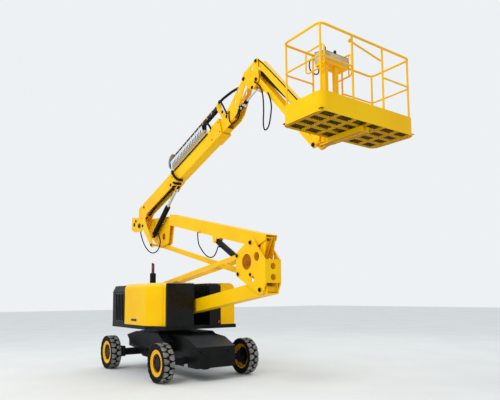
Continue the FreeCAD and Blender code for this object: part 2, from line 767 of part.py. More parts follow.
def elbow_frame():
    y0, y1 = elbow_plate_in, elbow_plate_in + elbow_plate
    front_x = L_ELBOW[0] + 140
    corners = [(L_ELBOW[0], L_ELBOW[1], 78), (front_x - 20, L_ELBOW[1] + 115, 20),
               (front_x - 20, L_ELBOW[1] + 485, 20), (U_ELBOW[0], U_ELBOW[1], 78),
               (LL_ELBOW[0], LL_ELBOW[1], 62), (UL_ELBOW[0], UL_ELBOW[1], 62)]
    plate = lobed(corners, y0, y1)
    # hole centre from the lower riser's pin, radius
    for offset, radius in [((-98, 558), 78), ((-214, 186), 52)]:
        plate = plate.cut(bar_y(add(L_ELBOW, offset), y0 - 5, y1 + 5, radius))
    window = bar_y(add(L_ELBOW, (-384, 484)), -y1 - 5, -y0 + 5, 138)
    plates = [plate, mirrored(plate).cut(window)]
    front = box(front_x - 12, front_x, -y1, y1, L_ELBOW[1] + 112, L_ELBOW[1] + 500)
    for z in (390, 205):
        front = front.cut(Part.makeCylinder(55, 60, Vector(front_x - 30, 0, L_ELBOW[1] + z), Vector(1, 0, 0)))
    pins = [bar_y(p, -y1 - 12, y1 + 12, pin_radius) for p in (L_ELBOW, U_ELBOW, UL_ELBOW)]
    for a, b in ((-y1 - 12, 3 - link_inner), (link_inner - 3, y1 + 12)):
        pins.append(bar_y(LL_ELBOW, a, b, pin_radius))
    eye_pin = bar_y(TOWER_EYE, -y1, tower_cylinder_y - lug_in, 26)
    return fuse(plates + [front, eye_pin] + pins)


def upper_riser():
    y = riser_half_width + side_gap * 3
    length = upper_length
    tube = riser(length, upper_riser_rise, -upper_riser_nose, -350)
    c, s = turn(180.0 - upper_angle)

    def local(point):
        dx, dz = point[0] - U_ELBOW[0], point[1] - U_ELBOW[1]
        return (dx * c + dz * s, -(-dx * s + dz * c))

    lug = lobed([(length, 0, 95), (length - 400, upper_riser_rise + 95, 25), (length - 400, upper_riser_rise - 95, 25)],
                upper_link_inner, 118)
    eye = bar_y((0, 0), -y, y, 70)
    timing_pin = bar_y(local(TIMING_TOP), -riser_half_width, riser_half_width, 16)
    bx, bz = local(TOWER_BASE)
    low = upper_riser_rise - riser_depth / 2.0
    lugs = [lobed([(bx - 90, low + 15, 0), (bx, bz, 48), (bx + 90, low + 15, 0)], y0, y0 + 16)
            for y0 in (tower_cylinder_y - tower_lug - lug_thick, tower_cylinder_y + tower_lug)]
    slot_x = length - 350 - top_slot
    slot = box(slot_x, length, lift_y - 50, lift_y + 50, low + riser_depth - 30, low + riser_depth + 30)
    nose = prism([(-upper_riser_nose - 8, low + 160), (-99, low), (-99, low - 5), (-upper_riser_nose - 8, low - 5)],
                 -riser_half_width - 5, riser_half_width + 5)
    tube = tube.cut(fuse([slot, nose]))
    reach = tower_lug + lug_thick + 6
    base_pin = bar_y((bx, bz), tower_cylinder_y - reach, tower_cylinder_y + reach, cylinder_pin)
    port_x = local(add(TOWER_BASE, (-570, 205)))[0]
    port = box(port_x - 28, port_x + 28, 11.2 - hose_plane, -90, low - 8, low + 45)
    shape = fuse([tube, lug, eye, timing_pin, base_pin, port] + lugs)
    shape = shape.cut(bar_y((0, 0), -300, 300, pin_radius + pin_gap))
    shape = shape.cut(bar_y((length, 0), -300, 300, pin_radius + pin_gap))
    return flip_lay(shape, U_ELBOW, 180.0 - upper_angle)


def flip_lay(shape, point, angle):
    """Place a beam drawn along +x with +z up so that it runs back at the angle and stays upright."""
    out = shape.mirror(Vector(0, 0, 0), Vector(1, 0, 0))
    out.rotate(Vector(0, 0, 0), Vector(0, -1, 0), angle - 180.0)
    out.translate(Vector(point[0], 0, point[1]))
    return out


def upper_link():
    length = upper_length
    d = upper_link_depth / 2.0
    bar = lobed([(0, 0, d), (length, 0, d)], upper_link_inner, upper_link_outer)
    inner = box(80, length - 80, upper_link_inner + 10, upper_link_outer - 10, 10 - d, d - 10)
    shape = bar.cut(inner)
    for x in (0, length):
        shape = shape.cut(bar_y((x, 0), 0, 200, pin_radius + pin_gap))
    return flip_lay(shape, UL_ELBOW, 180.0 - upper_angle)


def timing_link():
    """Channel at the upper riser's nose, narrowed to one bar beside the tower cylinder."""
    length = distance(TIMING_TOP, TIMING_LOW)
    low_bar = lobed([(0, 0, 30), (length, 0, 30)], -11, 11)
    shapes = [low_bar]
    for y0 in (-timing_wide, timing_wide - timing_wall):
        shapes.append(lobed([(0, 0, 44), (300, -6, 24), (330, 110, 30), (40, 32, 36)], y0 - timing_y,
                            y0 + timing_wall - timing_y))
    shapes.append(box(70, 318, -timing_wide - timing_y, timing_wide - timing_y, -18, -6))
    shape = fuse(shapes).cut(bar_y((0, 0), -200, 200, 16 + pin_gap))
    return lay(shape, TIMING_TOP, direction(TIMING_TOP, TIMING_LOW), timing_y)


def barrel(name):
    base, eye, y, outer, rod, length = CYLINDERS[name]
    tube = Part.makeCylinder(outer, length - outer, Vector(outer, 0, 0), Vector(1, 0, 0))
    bore = Part.makeCylinder(outer - 9, length - outer - 6 - gland, Vector(outer + 6, 0, 0), Vector(1, 0, 0))
    mouth = Part.makeCylinder(rod + 0.4, 2 * gland, Vector(length - gland - 5, 0, 0), Vector(1, 0, 0))
    tube = tube.cut(fuse([bore, mouth]))
    boss = bar_y((0, 0), -eye_width / 2.0, eye_width / 2.0, outer * 0.8)
    neck = box(0, outer + 4, -eye_width / 2.0, eye_width / 2.0, -outer * 0.6, outer * 0.6)
    parts = [tube, boss, neck]
    if name == "tower":
        parts.append(bar_y((229, -19), 11.2 - hose_plane - y, 8 - outer, 15))
    shape = fuse(parts)
    shape = shape.cut(bar_y((0, 0), -100, 100, cylinder_pin + pin_gap))
    return lay(shape, base, direction(base, eye), y)


def rod(name):
    base, eye, y, outer, radius = CYLINDERS[name][:5]
    span = distance(base, eye)
    start = span - stroke_start[name]
    shaft = Part.makeCylinder(radius, span - start - 20, Vector(start, 0, 0), Vector(1, 0, 0))
    piston = Part.makeCylinder(outer - 9.4, piston_length, Vector(start, 0, 0), Vector(1, 0, 0))
    boss = bar_y((span, 0), -eye_width / 2.0, eye_width / 2.0, radius + 16)
    return lay(fuse([shaft, piston, boss]), base, direction(base, eye), y)


# Rod length from the piston to the eye
stroke_start = {"tower": 1180.0, "lift": 1180.0, "jib": 1760.0, "level": 475.0}


def top_link():
    x, z = M_PIVOT
    block = [(x + 60, z - 120, 30), (x + 200, z + 60, 100), (x - 440, z + 230, 30), (x - 465, z - 30, 30),
             (x - 300, z - 95, 30)]
    arm = [(UL_TOP[0], UL_TOP[1], 60), (x + 190, z + 40, 105)]
    wide = [(UL_TOP[0], UL_TOP[1], 60), (U_TOP[0] - 40, UL_TOP[1] + 60, 60), (U_TOP[0], U_TOP[1], 110),
            (x - 100, z + 120, 60), (x - 100, z - 80, 60)]
    near = fuse([lobed(outline, -205, -185) for outline in (block, arm)])
    plates = [near]
    for y0 in (26, 124):
        plate = lobed(wide, y0, y0 + 18)
        holes = [bar_y(add(UL_TOP, (150, 190)), y0 - 1, y0 + 19, 85)]
        for dx, dz, r in ((330, -20, 28), (560, -50, 30), (780, -20, 28)):
            holes.append(lobed([(x + dx, z + dz, r), (x + dx + 8, z + dz + 75, r)], y0 - 1, y0 + 19))
        plates.append(plate.cut(fuse(holes)))
    bosses = [bar_y(M_PIVOT, -217, 154, 42), bar_y(UL_TOP, -217, 154, pin_radius),
              bar_y(U_TOP, 18, 150, pin_radius), bar_y(LIFT_BASE, -190, 30, cylinder_pin)]
    back = box(x - 470, x - 300, -187, 128, z - 20, z + 30)
    return fuse(plates + bosses + [back])


def main_boom():
    tube = rect_tube(boom_start, boom_end, boom_half_width, boom_low, boom_low + boom_depth, boom_wall)
    tube = tube.cut(box(belly_start, belly_end, -boom_half_width + boom_wall, boom_half_width - boom_wall,
                        boom_low - 10, boom_low + boom_wall + 5))
    cheeks = []
    for side in (-1, 1):
        y0, y1 = sorted((side * (boom_half_width - 16), side * boom_half_width))
        cheeks.append(lobed([(0, 0, 75), (420, boom_low + 20, 0), (boom_start, boom_low + boom_depth - 20, 0),
                             (boom_start - 60, boom_low + 120, 20)], y0, y1))
    collar = rect_tube(boom_end - 330, boom_end + 12, boom_half_width + 14, boom_low - 14,
                       boom_low + boom_depth + 14, 16)
    belt = rect_tube(collar_start, collar_start + collar_length, boom_half_width + 10, boom_low - 10,
                     boom_low + boom_depth + 10, 12)
    hole = bar_y((0, 0), -200, 200, 42 + pin_gap)
    s, t = boom_local(LIFT_EYE)
    middle = lift_y - boom_y
    lugs = [lobed([(s, t, 48), (belly_end + 120, boom_low + 2, 0), (belly_end + 120, boom_low + 6, 0)],
                  y0, y0 + lug_thick)
            for y0 in (middle - lift_lug - lug_thick, middle + lift_lug)]
    shape = fuse([tube, collar, belt] + cheeks + lugs).cut(hole)
    return lay(shape, M_PIVOT, boom_angle, boom_y)


def fly_boom():
    low = boom_low + (boom_depth - fly_depth) / 2.0
    tube = rect_tube(fly_start, fly_end, fly_half_width, low, low + fly_depth, 7)
    kx, kz = knuckle_pin
    head = []
    for side in (-1, 1):
        y0, y1 = sorted((side * fly_half_width, side * (fly_half_width + 14)))
        plate = lobed([(kx, kz, 62), (4140, low + fly_depth - 45, 45), (4270, low + 80, 60), (4400, low + 90, 40)],
                      y0, y1)
        for s, t in ((4591, 560), (4440, 450)):
            plate = plate.cut(lobed([(s, t, 26), (s + 20, t + 26, 26)], y0 - 1, y1 + 1))
        head.append(plate)
    pin = bar_y(knuckle_pin, -fly_half_width - 30, fly_half_width + 30, pin_radius)
    mouth = box(4040, fly_end + 5, 8 - fly_half_width, fly_half_width - 8, low - 5, low + 15)
    slave = bar_y(boom_local(SLAVE_BASE), -fly_half_width, fly_half_width, cylinder_pin)
    top = low + fly_depth
    ahead = boom_end + 24
    behind = chain_end + 8
    arm = prism([(ahead, top - 2), (ahead + 90, top - 2), (ahead + 90, top + 50), (behind + 56, top + 300),
                 (behind + 56, chain_top + 22), (behind, chain_top + 22), (behind, top + 285),
                 (ahead, top + 60)], -chain_half_width, chain_half_width)
    shape = fuse([tube.cut(mouth), slave, arm] + head + [pin])
    return lay(shape, M_PIVOT, boom_angle, boom_y)


def jib_knuckle():
    w = fly_half_width + 14 + side_gap
    plates = []
    for side in (-1, 1):
        y0, y1 = sorted((side * w, side * (w + 14)))
        plate = lobed([(J_LOW[0], J_LOW[1], 62), (J_TOP[0], J_TOP[1], 44), (KNUCKLE[0] + 40, KNUCKLE[1] + 75, 40),
                       (KNUCKLE[0], KNUCKLE[1], 66), (SLAVE_EYE[0], SLAVE_EYE[1], 46)], y0, y1)
        plate = plate.cut(bar_y(add(KNUCKLE, (245, 80)), y0 - 1, y1 + 1, 36))
        plates.append(plate.cut(bar_y(KNUCKLE, y0 - 1, y1 + 1, pin_radius + pin_gap)))
    pins = [bar_y(J_LOW, -w - 24, w + 24, 22), bar_y(J_TOP, -w - 24, w + 24, 20)]
    tube = bar_y(add(KNUCKLE, (170, 60)), -w - 2, w + 2, 40)
    inner = [lobed([(J_LOW[0], J_LOW[1], 38), (JIB_BASE[0], JIB_BASE[1], 34)], y0, y0 + lug_thick)
             for y0 in (-jib_lug_in - lug_thick, jib_lug_in)]
    inner.append(bar_y(JIB_BASE, -jib_lug_in - 18, jib_lug_in + 18, cylinder_pin))
    stubs = [bar_y(SLAVE_EYE, *sorted((side * lug_in, side * (w + 2))), cylinder_pin) for side in (-1, 1)]
    out = fuse(plates + pins + [tube] + inner + stubs)
    out.translate(Vector(0, boom_y, 0))
    return out


def jib_bar(kind):
    """Lower bar: channel open upwards. Upper bar: channel open downwards."""
    d, w = jib_depth / 2.0, jib_half_width
    bar = lobed([(0, 0, d), (jib_length, 0, d)], -w, w)
    inner = box(-80, jib_length + 80, 9 - w, w - 9, -d + 9, d + 9)
    if kind == "upper":
        inner = box(-80, jib_length + 80, 9 - w, w - 9, -d - 9, d - 9)
    ends = [box(-80, 75, 9 - w, w - 9, -80, 80), box(jib_length - 120, jib_length + 80, 9 - w, w - 9, -80, 80)]
    shape = bar.cut(inner)
    for piece in ends:
        shape = shape.cut(piece)
    if kind == "upper":
        shape = shape.cut(box(jib_length - 420, jib_length, 24 - w, w - 24, 0, 80))
    radius = 22 if kind == "lower" else 20
    for x in (0, jib_length):
        shape = shape.cut(bar_y((x, 0), -200, 200, radius + pin_gap))
    return lay(shape, J_LOW if kind == "lower" else J_TOP, jib_angle, boom_y)


def platform_bracket():
    w = jib_half_width + side_gap
    hub_r = 62.0
    plates = []
    for side in (-1, 1):
        y0, y1 = sorted((side * w, side * (w + 12)))
        plate = lobed([(P_LOW[0], P_LOW[1], 44), (ROTATOR_X - 35, P_LOW[1] + 76, 40),
                       (ROTATOR_X - 35, P_TOP[1] - 62, 40), (P_TOP[0], P_TOP[1], 42)], y0, y1)
        plates.append(plate)
    pins = [bar_y(P_LOW, -w - 20, w + 20, 22)]
    pins += [bar_y(P_TOP, *sorted((side * lug_in, side * (w + 20))), 20) for side in (-1, 1)]
    hub = Part.makeCylinder(hub_r, P_TOP[1] - P_LOW[1] - 10, Vector(ROTATOR_X, 0, P_LOW[1] + 10))
    webs = [box(ROTATOR_X - 45, ROTATOR_X, -w - 1, w + 1, z, z + 12) for z in (P_LOW[1] + 10, P_TOP[1] - 20)]
    shape = fuse(plates + pins + [hub] + webs)
    shape = shape.cut(Part.makeCylinder(32 + pin_gap, 600, Vector(ROTATOR_X, 0, P_LOW[1] - 100)))
    shape.translate(Vector(0, boom_y, 0))
    return shape


# Platform, drawn about y = 0 and then moved to the boom's plane

def platform_place(shape):
    shape.translate(Vector(0, boom_y, 0))
    return shape


def rounded_plan(x0, x1, y0, y1, radius, z0, z1):
    solid = box(x0, x1, y0, y1, z0, z1)
    upright = [e for e in solid.Edges if abs(e.Vertexes[0].Z - e.Vertexes[-1].Z) > 1]
    return solid.makeFillet(radius, upright)


def platform_floor():
    x0, x1 = PLATFORM_REAR, PLATFORM_REAR + platform_depth
    h = platform_width / 2.0
    z = FLOOR_Z
    outer = rounded_plan(x0, x1, -h, h, corner_round, z, z + toe_height)
    inner = rounded_plan(x0 + 5, x1 - 5, -h + 5, h - 5, corner_round - 5, z - 1, z + toe_height + 1)
    wall = outer.cut(inner)
    deck_plate = rounded_plan(x0 + 2, x1 - 2, -h + 2, h - 2, corner_round - 2, z + 36, z + 42)
    frame = []
    for y in (-h + 60, -h * 0.62, -h * 0.3, 0.0, h * 0.3, h * 0.62, h - 60):
        frame.append(box(x0 + 3, x1 - 3, y - 12, y + 12, z + 2, z + 37))
    for x in (x0 + 200, x0 + 390, x1 - 190):
        frame.append(box(x - 12, x + 12, -h + 3, h - 3, z + 2, z + 37))
    pin_top = P_TOP[1] + 60
    post = Part.makeCylinder(32, pin_top - P_LOW[1] + 60, Vector(ROTATOR_X, 0, P_LOW[1] - 60))
    yokes = []
    for zy in (P_LOW[1] - 30, P_TOP[1] + 16):
        yokes.append(Part.makeCylinder(70, 22, Vector(ROTATOR_X, 0, zy)))
        yokes.append(box(ROTATOR_X, x0 + 3, -60, 60, zy, zy + 22))
    spine = box(x0 - 25, x0 - 1, -70, 70, P_LOW[1] - 30, P_TOP[1] + 38)
    beams = [box(x0 - 20, x1 - 120, y - 20, y + 20, P_LOW[1] - 30, z + 3) for y in (-50, 50)]
    shape = fuse([wall, deck_plate, post, spine] + frame + yokes + beams)
    return platform_place(shape)


def platform_rails():
    x0, x1 = PLATFORM_REAR + rail_inset, PLATFORM_REAR + platform_depth - rail_inset
    h = platform_width / 2.0 - rail_inset
    base, top = FLOOR_Z + toe_height - 60, FLOOR_Z + rail_height - rail_tube / 2.0
    middle = FLOOR_Z + 0.62 * rail_height
    loop = [Vector(x1, -h, top), Vector(x1, h, top), Vector(x0, h, top), Vector(x0, -h, top)]
    parts = [pipe(loop, rail_tube, corner_round - rail_inset, closed=True)]
    r = corner_round - rail_inset
    posts = [(x1 - 25, -h + 25), (x1 - 25, h - 25), (x0 + 25, h - 25), (x0 + 25, -h + 25)]
    posts += [(x1, y) for y in gate_posts] + [(x0, y) for y in rear_posts]
    for x, y in posts:
        parts.append(straight(Vector(x, y, base), Vector(x, y, top), post_tube))
    runs = []
    for side, front_y, rear_y in ((-1, gate_posts[0], rear_posts[0]), (1, gate_posts[1], rear_posts[1])):
        runs.append([Vector(x1, front_y, middle), Vector(x1, side * h, middle), Vector(x0, side * h, middle),
                     Vector(x0, rear_y, middle)])
    for run in runs:
        parts.append(pipe(run, bar_tube, r))
    return platform_place(Part.makeCompound([fuse(parts), console_stand()] + console_guards()))


def gate_bar():
    """Drop bar across the entry, hinged on one post just inside the rail."""
    x, top = GATE_PIVOT
    a = Vector(x, gate_posts[0], top)
    b = Vector(x, gate_posts[1] + 12, top - gate_drop)
    bar = straight(a, b, bar_tube)
    collar = Part.makeCylinder(22, 30, Vector(x - 14, gate_posts[0], top), Vector(1, 0, 0))
    return platform_place(fuse([bar, collar]))


def console():
    x0 = PLATFORM_REAR + console_behind
    z = FLOOR_Z + console_base
    y0, y1 = console_sides
    body = prism([(x0, z), (x0 + console_depth, z), (x0 + console_depth, z + 125), (x0, z + 172)], y0, y1)
    sticks = []
    for y in (y0 + 95, y0 + 300):
        sticks.append(Part.makeCone(20, 12, 70, Vector(x0 + 110, y, z + 138)))
        sticks.append(Part.makeSphere(24, Vector(x0 + 110, y, z + 212)))
    return platform_place(fuse([body] + sticks))


def console_stand():
    x0 = PLATFORM_REAR + console_behind
    z = FLOOR_Z + console_base
    y0, y1 = console_sides
    plate = box(x0 + 8, x0 + console_depth - 8, y0 + 5, y1 - 5, z - console_plate, z)
    posts = [box(x0 + 130, x0 + 190, y - 30, y + 30, FLOOR_Z + 42, z - console_plate + 1)
             for y in (y0 + 45, y0 + 245)]
    return fuse([plate] + posts)


def console_guards():
    x0, x1 = PLATFORM_REAR - 70, PLATFORM_REAR + 300
    z0, z1 = FLOOR_Z + 880, FLOOR_Z + 1200
    loops = []
    for y in (-392.0, 152.0):
        loop = [Vector(x1, y, z0), Vector(x1, y, z1), Vector(x0, y, z1), Vector(x0, y, z0)]
        loops.append(fuse([pipe(loop, bar_tube, 60, closed=True),
                           straight(Vector(x1 - 60, y, z0), Vector(x1 - 60, y, z1), 20)]))
    return loops


# Energy chain on the boom

def chain_tray():
    w = tray_half_width
    bend = (tray_top - tray_floor) / 2.0
    centre = (tray_start + bend, tray_floor + bend)
    run = [(centre[0], centre[1], bend), (tray_end - 12, tray_floor + 12, 12), (tray_end - 12, tray_top - 12, 12)]
    far_wall = lobed(run, w - tray_wall, w)
    rim = lobed(run, -w, w).cut(lobed([(x, t, r - tray_wall if r > 20 else 7) for x, t, r in run], -w - 1, w + 1))
    rim = rim.common(box(tray_start - 1, centre[0] + 60, -w - 1, w + 1, tray_floor - 1, tray_top + 1))
    floor = box(centre[0], tray_end, -w, w, tray_floor, tray_floor + tray_wall)
    near_wall = box(centre[0] - 60, tray_end, -w, tray_wall - w, tray_floor, tray_floor + tray_side)
    legs = [box(s, s + 40, -w, w, boom_top, tray_floor + 1)
            for s in (collar_start + collar_length + 60, tray_end - 660, tray_end - 130)]
    tray = fuse([far_wall, rim, floor, near_wall] + legs)
    side = -boom_half_width
    duct = box(duct_start, duct_end, side - duct_depth, side, duct_low, duct_top)
    duct = duct.cut(box(duct_start - 1, duct_end + 1, side - duct_depth - 1, side - 4, duct_low + 4, duct_top - 4))
    return lay(Part.makeCompound([tray, duct]), M_PIVOT, boom_angle, boom_y)


def hose_chain():
    """Energy chain: a spine round the rear bend with its links on the upper run and the bend."""
    w, half = chain_half_width, chain_link / 2.0
    bend = (chain_top - chain_low) / 2.0
    cx, ct = chain_rear + bend, chain_low + bend
    web = half - 9
    loop = lobed([(cx, ct, bend - 9), (chain_end, ct, bend - 9)], -w + 6, w - 6)
    loop = loop.cut(lobed([(cx, ct, bend - half - web), (chain_end, ct, bend - half - web)], -w, w))
    loop = loop.common(fuse([box(0, chain_low_end, -w, w, 0, ct), box(0, chain_end - 2, -w, w, ct, 2 * ct)]))
    links = []
    count = int((chain_end - cx) / chain_pitch)
    for i in range(count):
        s = chain_end - (i + 1) * chain_pitch
        links.append(box(s + 6, s + chain_pitch - 6, -w, w, chain_top - chain_link, chain_top))
    for i in range(4):
        link = box(-chain_pitch / 2.0 + 12, chain_pitch / 2.0 - 12, -w, w, bend - chain_link, bend)
        link.rotate(Vector(0, 0, 0), Vector(0, -1, 0), 26.0 + i * 42.0)
        link.translate(Vector(cx, 0, ct))
        links.append(link)
    return lay(fuse([loop] + links), M_PIVOT, boom_angle, boom_y)


# Hoses: points as (x, z) offsets from a pin

def easy_bend(run_in, run_out, half):
    """Largest bend radius that two runs leave room for; half is half the angle between them."""
    return 0.45 * min(run_in, run_out) * math.tan(half)


def hoses():
    # name: pin, offsets (x, z) from it, plane y, diameter
    table = {
        "top_hose": (M_PIVOT, [(-60, -70), (60, -330), (350, -610), (700, -740), (1010, -660), (1110, -420),
                               (900, -240)], -172, 26),
        "head_hose": (KNUCKLE, [(-480, -440), (-500, -600), (-380, -715), (-210, -700), (-120, -590),
                                (-150, -450)], -184, 24),
        "jib_hose": (J_LOW, [(-48, -30), (110, -130), (205, -330), (238, -610), (226, -880), (285, -960),
                             (350, -800), (425, -560), (330, -350)], -204, 24),
        "tower_hose": (TOWER_BASE, [(-570, 225), (-570, 20), (-430, -130), (-250, -270), (-60, -330),
                                    (110, -280), (190, -130)], -hose_plane, 22),
    }
    shapes = {}
    for name, (pin, offsets, y, diameter) in table.items():
        points = [Vector(pin[0] + x, y, pin[1] + z) for x, z in offsets]
        shapes[name] = pipe(points, diameter, easy_bend)
    return shapes


def console_cable():
    x, z = PLATFORM_REAR, FLOOR_Z
    points = [(60, 1090), (0, 1090), (-95, 1150), (-95, 1000), (90, 840), (90, 954.5)]
    cable = pipe([Vector(x + dx, -300.0, z + dz) for dx, dz in points], 18, easy_bend)
    return platform_place(cable)


def wheel_names():
    names = []
    for end, end_name in ((1, "front"), (-1, "rear")):
        for side, side_name in ((-1, "right"), (1, "left")):
            names.append((end, side, end_name + "_" + side_name))
    return names


def build_all():
    shapes = {
        "chassis_frame": chassis_frame(), "drive_axle": drive_axle(), "steer_axle": steer_axle(),
        "tie_rod": tie_rod(), "tail_covers": Part.makeCompound([tail_cover(), mirrored(tail_cover())]),
        "turntable_deck": deck(), "counterweight": counterweight(), "engine_block": engine_block(),
        "exhaust_stack": exhaust(), "deck_lamp": deck_lamp(), "front_cover": front_cover(),
        "lower_riser": lower_riser(), "lower_link": lower_link(), "elbow_frame": elbow_frame(),
        "upper_riser": upper_riser(), "upper_link": upper_link(), "timing_link": timing_link(),
        "top_link": top_link(), "main_boom": main_boom(), "fly_boom": fly_boom(),
        "jib_knuckle": jib_knuckle(), "jib_lower_bar": jib_bar("lower"), "jib_upper_bar": jib_bar("upper"),
        "platform_bracket": platform_bracket(), "platform_floor": platform_floor(),
        "platform_rails": platform_rails(), "gate_bar": gate_bar(), "console": console(),
        "chain_tray": chain_tray(), "hose_chain": hose_chain(), "console_cable": console_cable(),
    }
    shapes.update(hoses())
    for side, name in ((-1, "right"), (1, "left")):
        shapes["hood_" + name] = hood(side)
        shapes["door_" + name] = door(side)
        shapes["steer_knuckle_" + name] = knuckle(side)
    for name in CYLINDERS:
        shapes[name + "_cylinder_barrel"] = barrel(name)
        shapes[name + "_cylinder_rod"] = rod(name)
    for end, side, name in wheel_names():
        shapes["rim_" + name] = rim(end, side)
    shapes.update(tyres())
    return shapes


def middle_shift(shapes):
    bounds = FreeCAD.BoundBox()
    for shape in shapes.values():
        bounds.add(shape.BoundBox)
    return -(bounds.XMin + bounds.XMax) / 2.0


def main():
    os.makedirs("parts", exist_ok=True)
    shapes = build_all()
    shift = middle_shift(shapes)
    for name, shape in shapes.items():
        shape.translate(Vector(shift, 0, 0))
        shape.exportStep("parts/" + name + ".step")


if __name__ == "__main__":
    main()
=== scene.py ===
"""Articulating boom lift: the finishes, the tread, the hoses, the hose chain and the small fittings."""
import json
import math

import bpy
from mathutils import Matrix, Vector


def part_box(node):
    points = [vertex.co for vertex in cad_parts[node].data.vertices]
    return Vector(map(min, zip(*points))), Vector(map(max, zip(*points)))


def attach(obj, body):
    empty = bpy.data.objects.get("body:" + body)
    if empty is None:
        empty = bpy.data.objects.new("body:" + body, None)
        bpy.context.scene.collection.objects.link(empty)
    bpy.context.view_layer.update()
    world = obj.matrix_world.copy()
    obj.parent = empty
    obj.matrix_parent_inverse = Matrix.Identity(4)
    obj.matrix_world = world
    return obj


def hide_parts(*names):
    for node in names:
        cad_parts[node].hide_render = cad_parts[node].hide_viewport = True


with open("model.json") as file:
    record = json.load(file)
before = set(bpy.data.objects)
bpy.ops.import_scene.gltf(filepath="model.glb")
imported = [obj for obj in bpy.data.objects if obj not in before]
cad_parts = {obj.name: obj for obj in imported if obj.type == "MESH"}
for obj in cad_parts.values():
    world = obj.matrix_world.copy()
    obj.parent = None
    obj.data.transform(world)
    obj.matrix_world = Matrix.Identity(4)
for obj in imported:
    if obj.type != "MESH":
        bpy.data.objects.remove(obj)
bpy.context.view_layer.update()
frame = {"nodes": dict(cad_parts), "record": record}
nodes = frame["nodes"]


# Places. The slew axis is the middle of the engine block; y = 0 is the chassis' middle.

def middle(node):
    low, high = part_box(node)
    return (low + high) / 2


SLEW_X = middle("engine_block").x
BOOM_Y = -0.08
GROUND = 0.0
TYRE_RADIUS = 0.366
WHEEL_MIDDLE_X = (middle("tyre_front_left").x + middle("tyre_rear_left").x) / 2
HALF_WHEELBASE = (middle("tyre_front_left").x - middle("tyre_rear_left").x) / 2


def machine(x, y, z):
    """A point given from the slew axis on the ground."""
    return Vector((SLEW_X + x, y, z))


# Camera: 36.3 mm on a 36 mm sensor, from the right front, close to the ground, looking slightly up.

def place_camera():
    yaw, pitch, roll = math.radians(144.06), math.radians(5.36), math.radians(-0.44)
    ahead = Vector((math.cos(pitch) * math.cos(yaw), math.cos(pitch) * math.sin(yaw), math.sin(pitch)))
    right = ahead.cross(Vector((0, 0, 1))).normalized()
    up = right.cross(ahead)
    right, up = (right * math.cos(roll) + up * math.sin(roll), up * math.cos(roll) - right * math.sin(roll))
    data = bpy.data.cameras.new("camera")
    data.lens = 36.34
    data.sensor_width = 36.0
    data.shift_y = 0.10
    data.clip_end = 200.0
    camera = bpy.data.objects.new("camera", data)
    bpy.context.scene.collection.objects.link(camera)
    turn = Matrix((right, up, -ahead)).transposed().to_4x4()
    camera.matrix_world = Matrix.Translation(machine(9.969, -5.186, 1.567)) @ turn
    bpy.context.scene.camera = camera


# Materials

def linear(hex_colour):
    """sRGB hex to the linear colour that a shader takes."""
    channels = []
    for start in (1, 3, 5):
        c = int(hex_colour[start:start + 2], 16) / 255
        channels.append(c / 12.92 if c <= 0.04045 else ((c + 0.055) / 1.055) ** 2.4)
    return (*channels, 1.0)


def add(tree, kind, settings=None, values=None, links=None):
    """Adds a node, sets it and its sockets, and links sockets from other nodes' outputs."""
    node = tree.nodes.new(kind)
    for key, value in (settings or {}).items():
        setattr(node, key, value)
    for key, value in (values or {}).items():
        node.inputs[key].default_value = value
    for key, source in (links or {}).items():
        tree.links.new(source, node.inputs[key])
    return node


def new_material(name, colour, roughness, metallic=0.0, coat=0.0, ior=1.5):
    material = bpy.data.materials.new(name)
    material.use_nodes = True
    tree = material.node_tree
    surface = tree.nodes["Principled BSDF"]
    surface.inputs["Base Color"].default_value = linear(colour)
    surface.inputs["Roughness"].default_value = roughness
    surface.inputs["Metallic"].default_value = metallic
    if not metallic:
        surface.inputs["IOR"].default_value = ior
    if coat:
        surface.inputs["Coat Weight"].default_value = coat
        surface.inputs["Coat Roughness"].default_value = 0.08
    return material, tree, surface


def two_tone(tree, surface, dark, light, scale, detail=4.0, low=0.35, high=0.65, distortion=0.0):
    """Mottles the base colour between two tones, patches of 1/scale metres."""
    where = add(tree, "ShaderNodeTexCoord")
    noise = add(tree, "ShaderNodeTexNoise", values={"Scale": scale, "Detail": detail, "Distortion": distortion},
                links={"Vector": where.outputs["Object"]})
    ramp = add(tree, "ShaderNodeValToRGB", links={"Fac": noise.outputs["Fac"]})
    ramp.color_ramp.elements[0].position = low
    ramp.color_ramp.elements[0].color = linear(dark)
    ramp.color_ramp.elements[1].position = high
    ramp.color_ramp.elements[1].color = linear(light)
    tree.links.new(ramp.outputs["Color"], surface.inputs["Base Color"])
    return where, noise, ramp


def grain(tree, surface, where, scale, strength, distance, detail=3.0):
    """Fine relief from noise: scale per metre, distance in metres."""
    noise = add(tree, "ShaderNodeTexNoise", values={"Scale": scale, "Detail": detail},
                links={"Vector": where.outputs["Object"]})
    bump = add(tree, "ShaderNodeBump", values={"Strength": strength, "Distance": distance},
               links={"Height": noise.outputs["Fac"]})
    tree.links.new(bump.outputs["Normal"], surface.inputs["Normal"])
    return bump


def vary_roughness(tree, surface, where, low, high, scale):
    noise = add(tree, "ShaderNodeTexNoise", values={"Scale": scale, "Detail": 4.0},
                links={"Vector": where.outputs["Object"]})
    spread = add(tree, "ShaderNodeMapRange", values={"To Min": low, "To Max": high},
                 links={"Value": noise.outputs["Fac"]})
    tree.links.new(spread.outputs["Result"], surface.inputs["Roughness"])


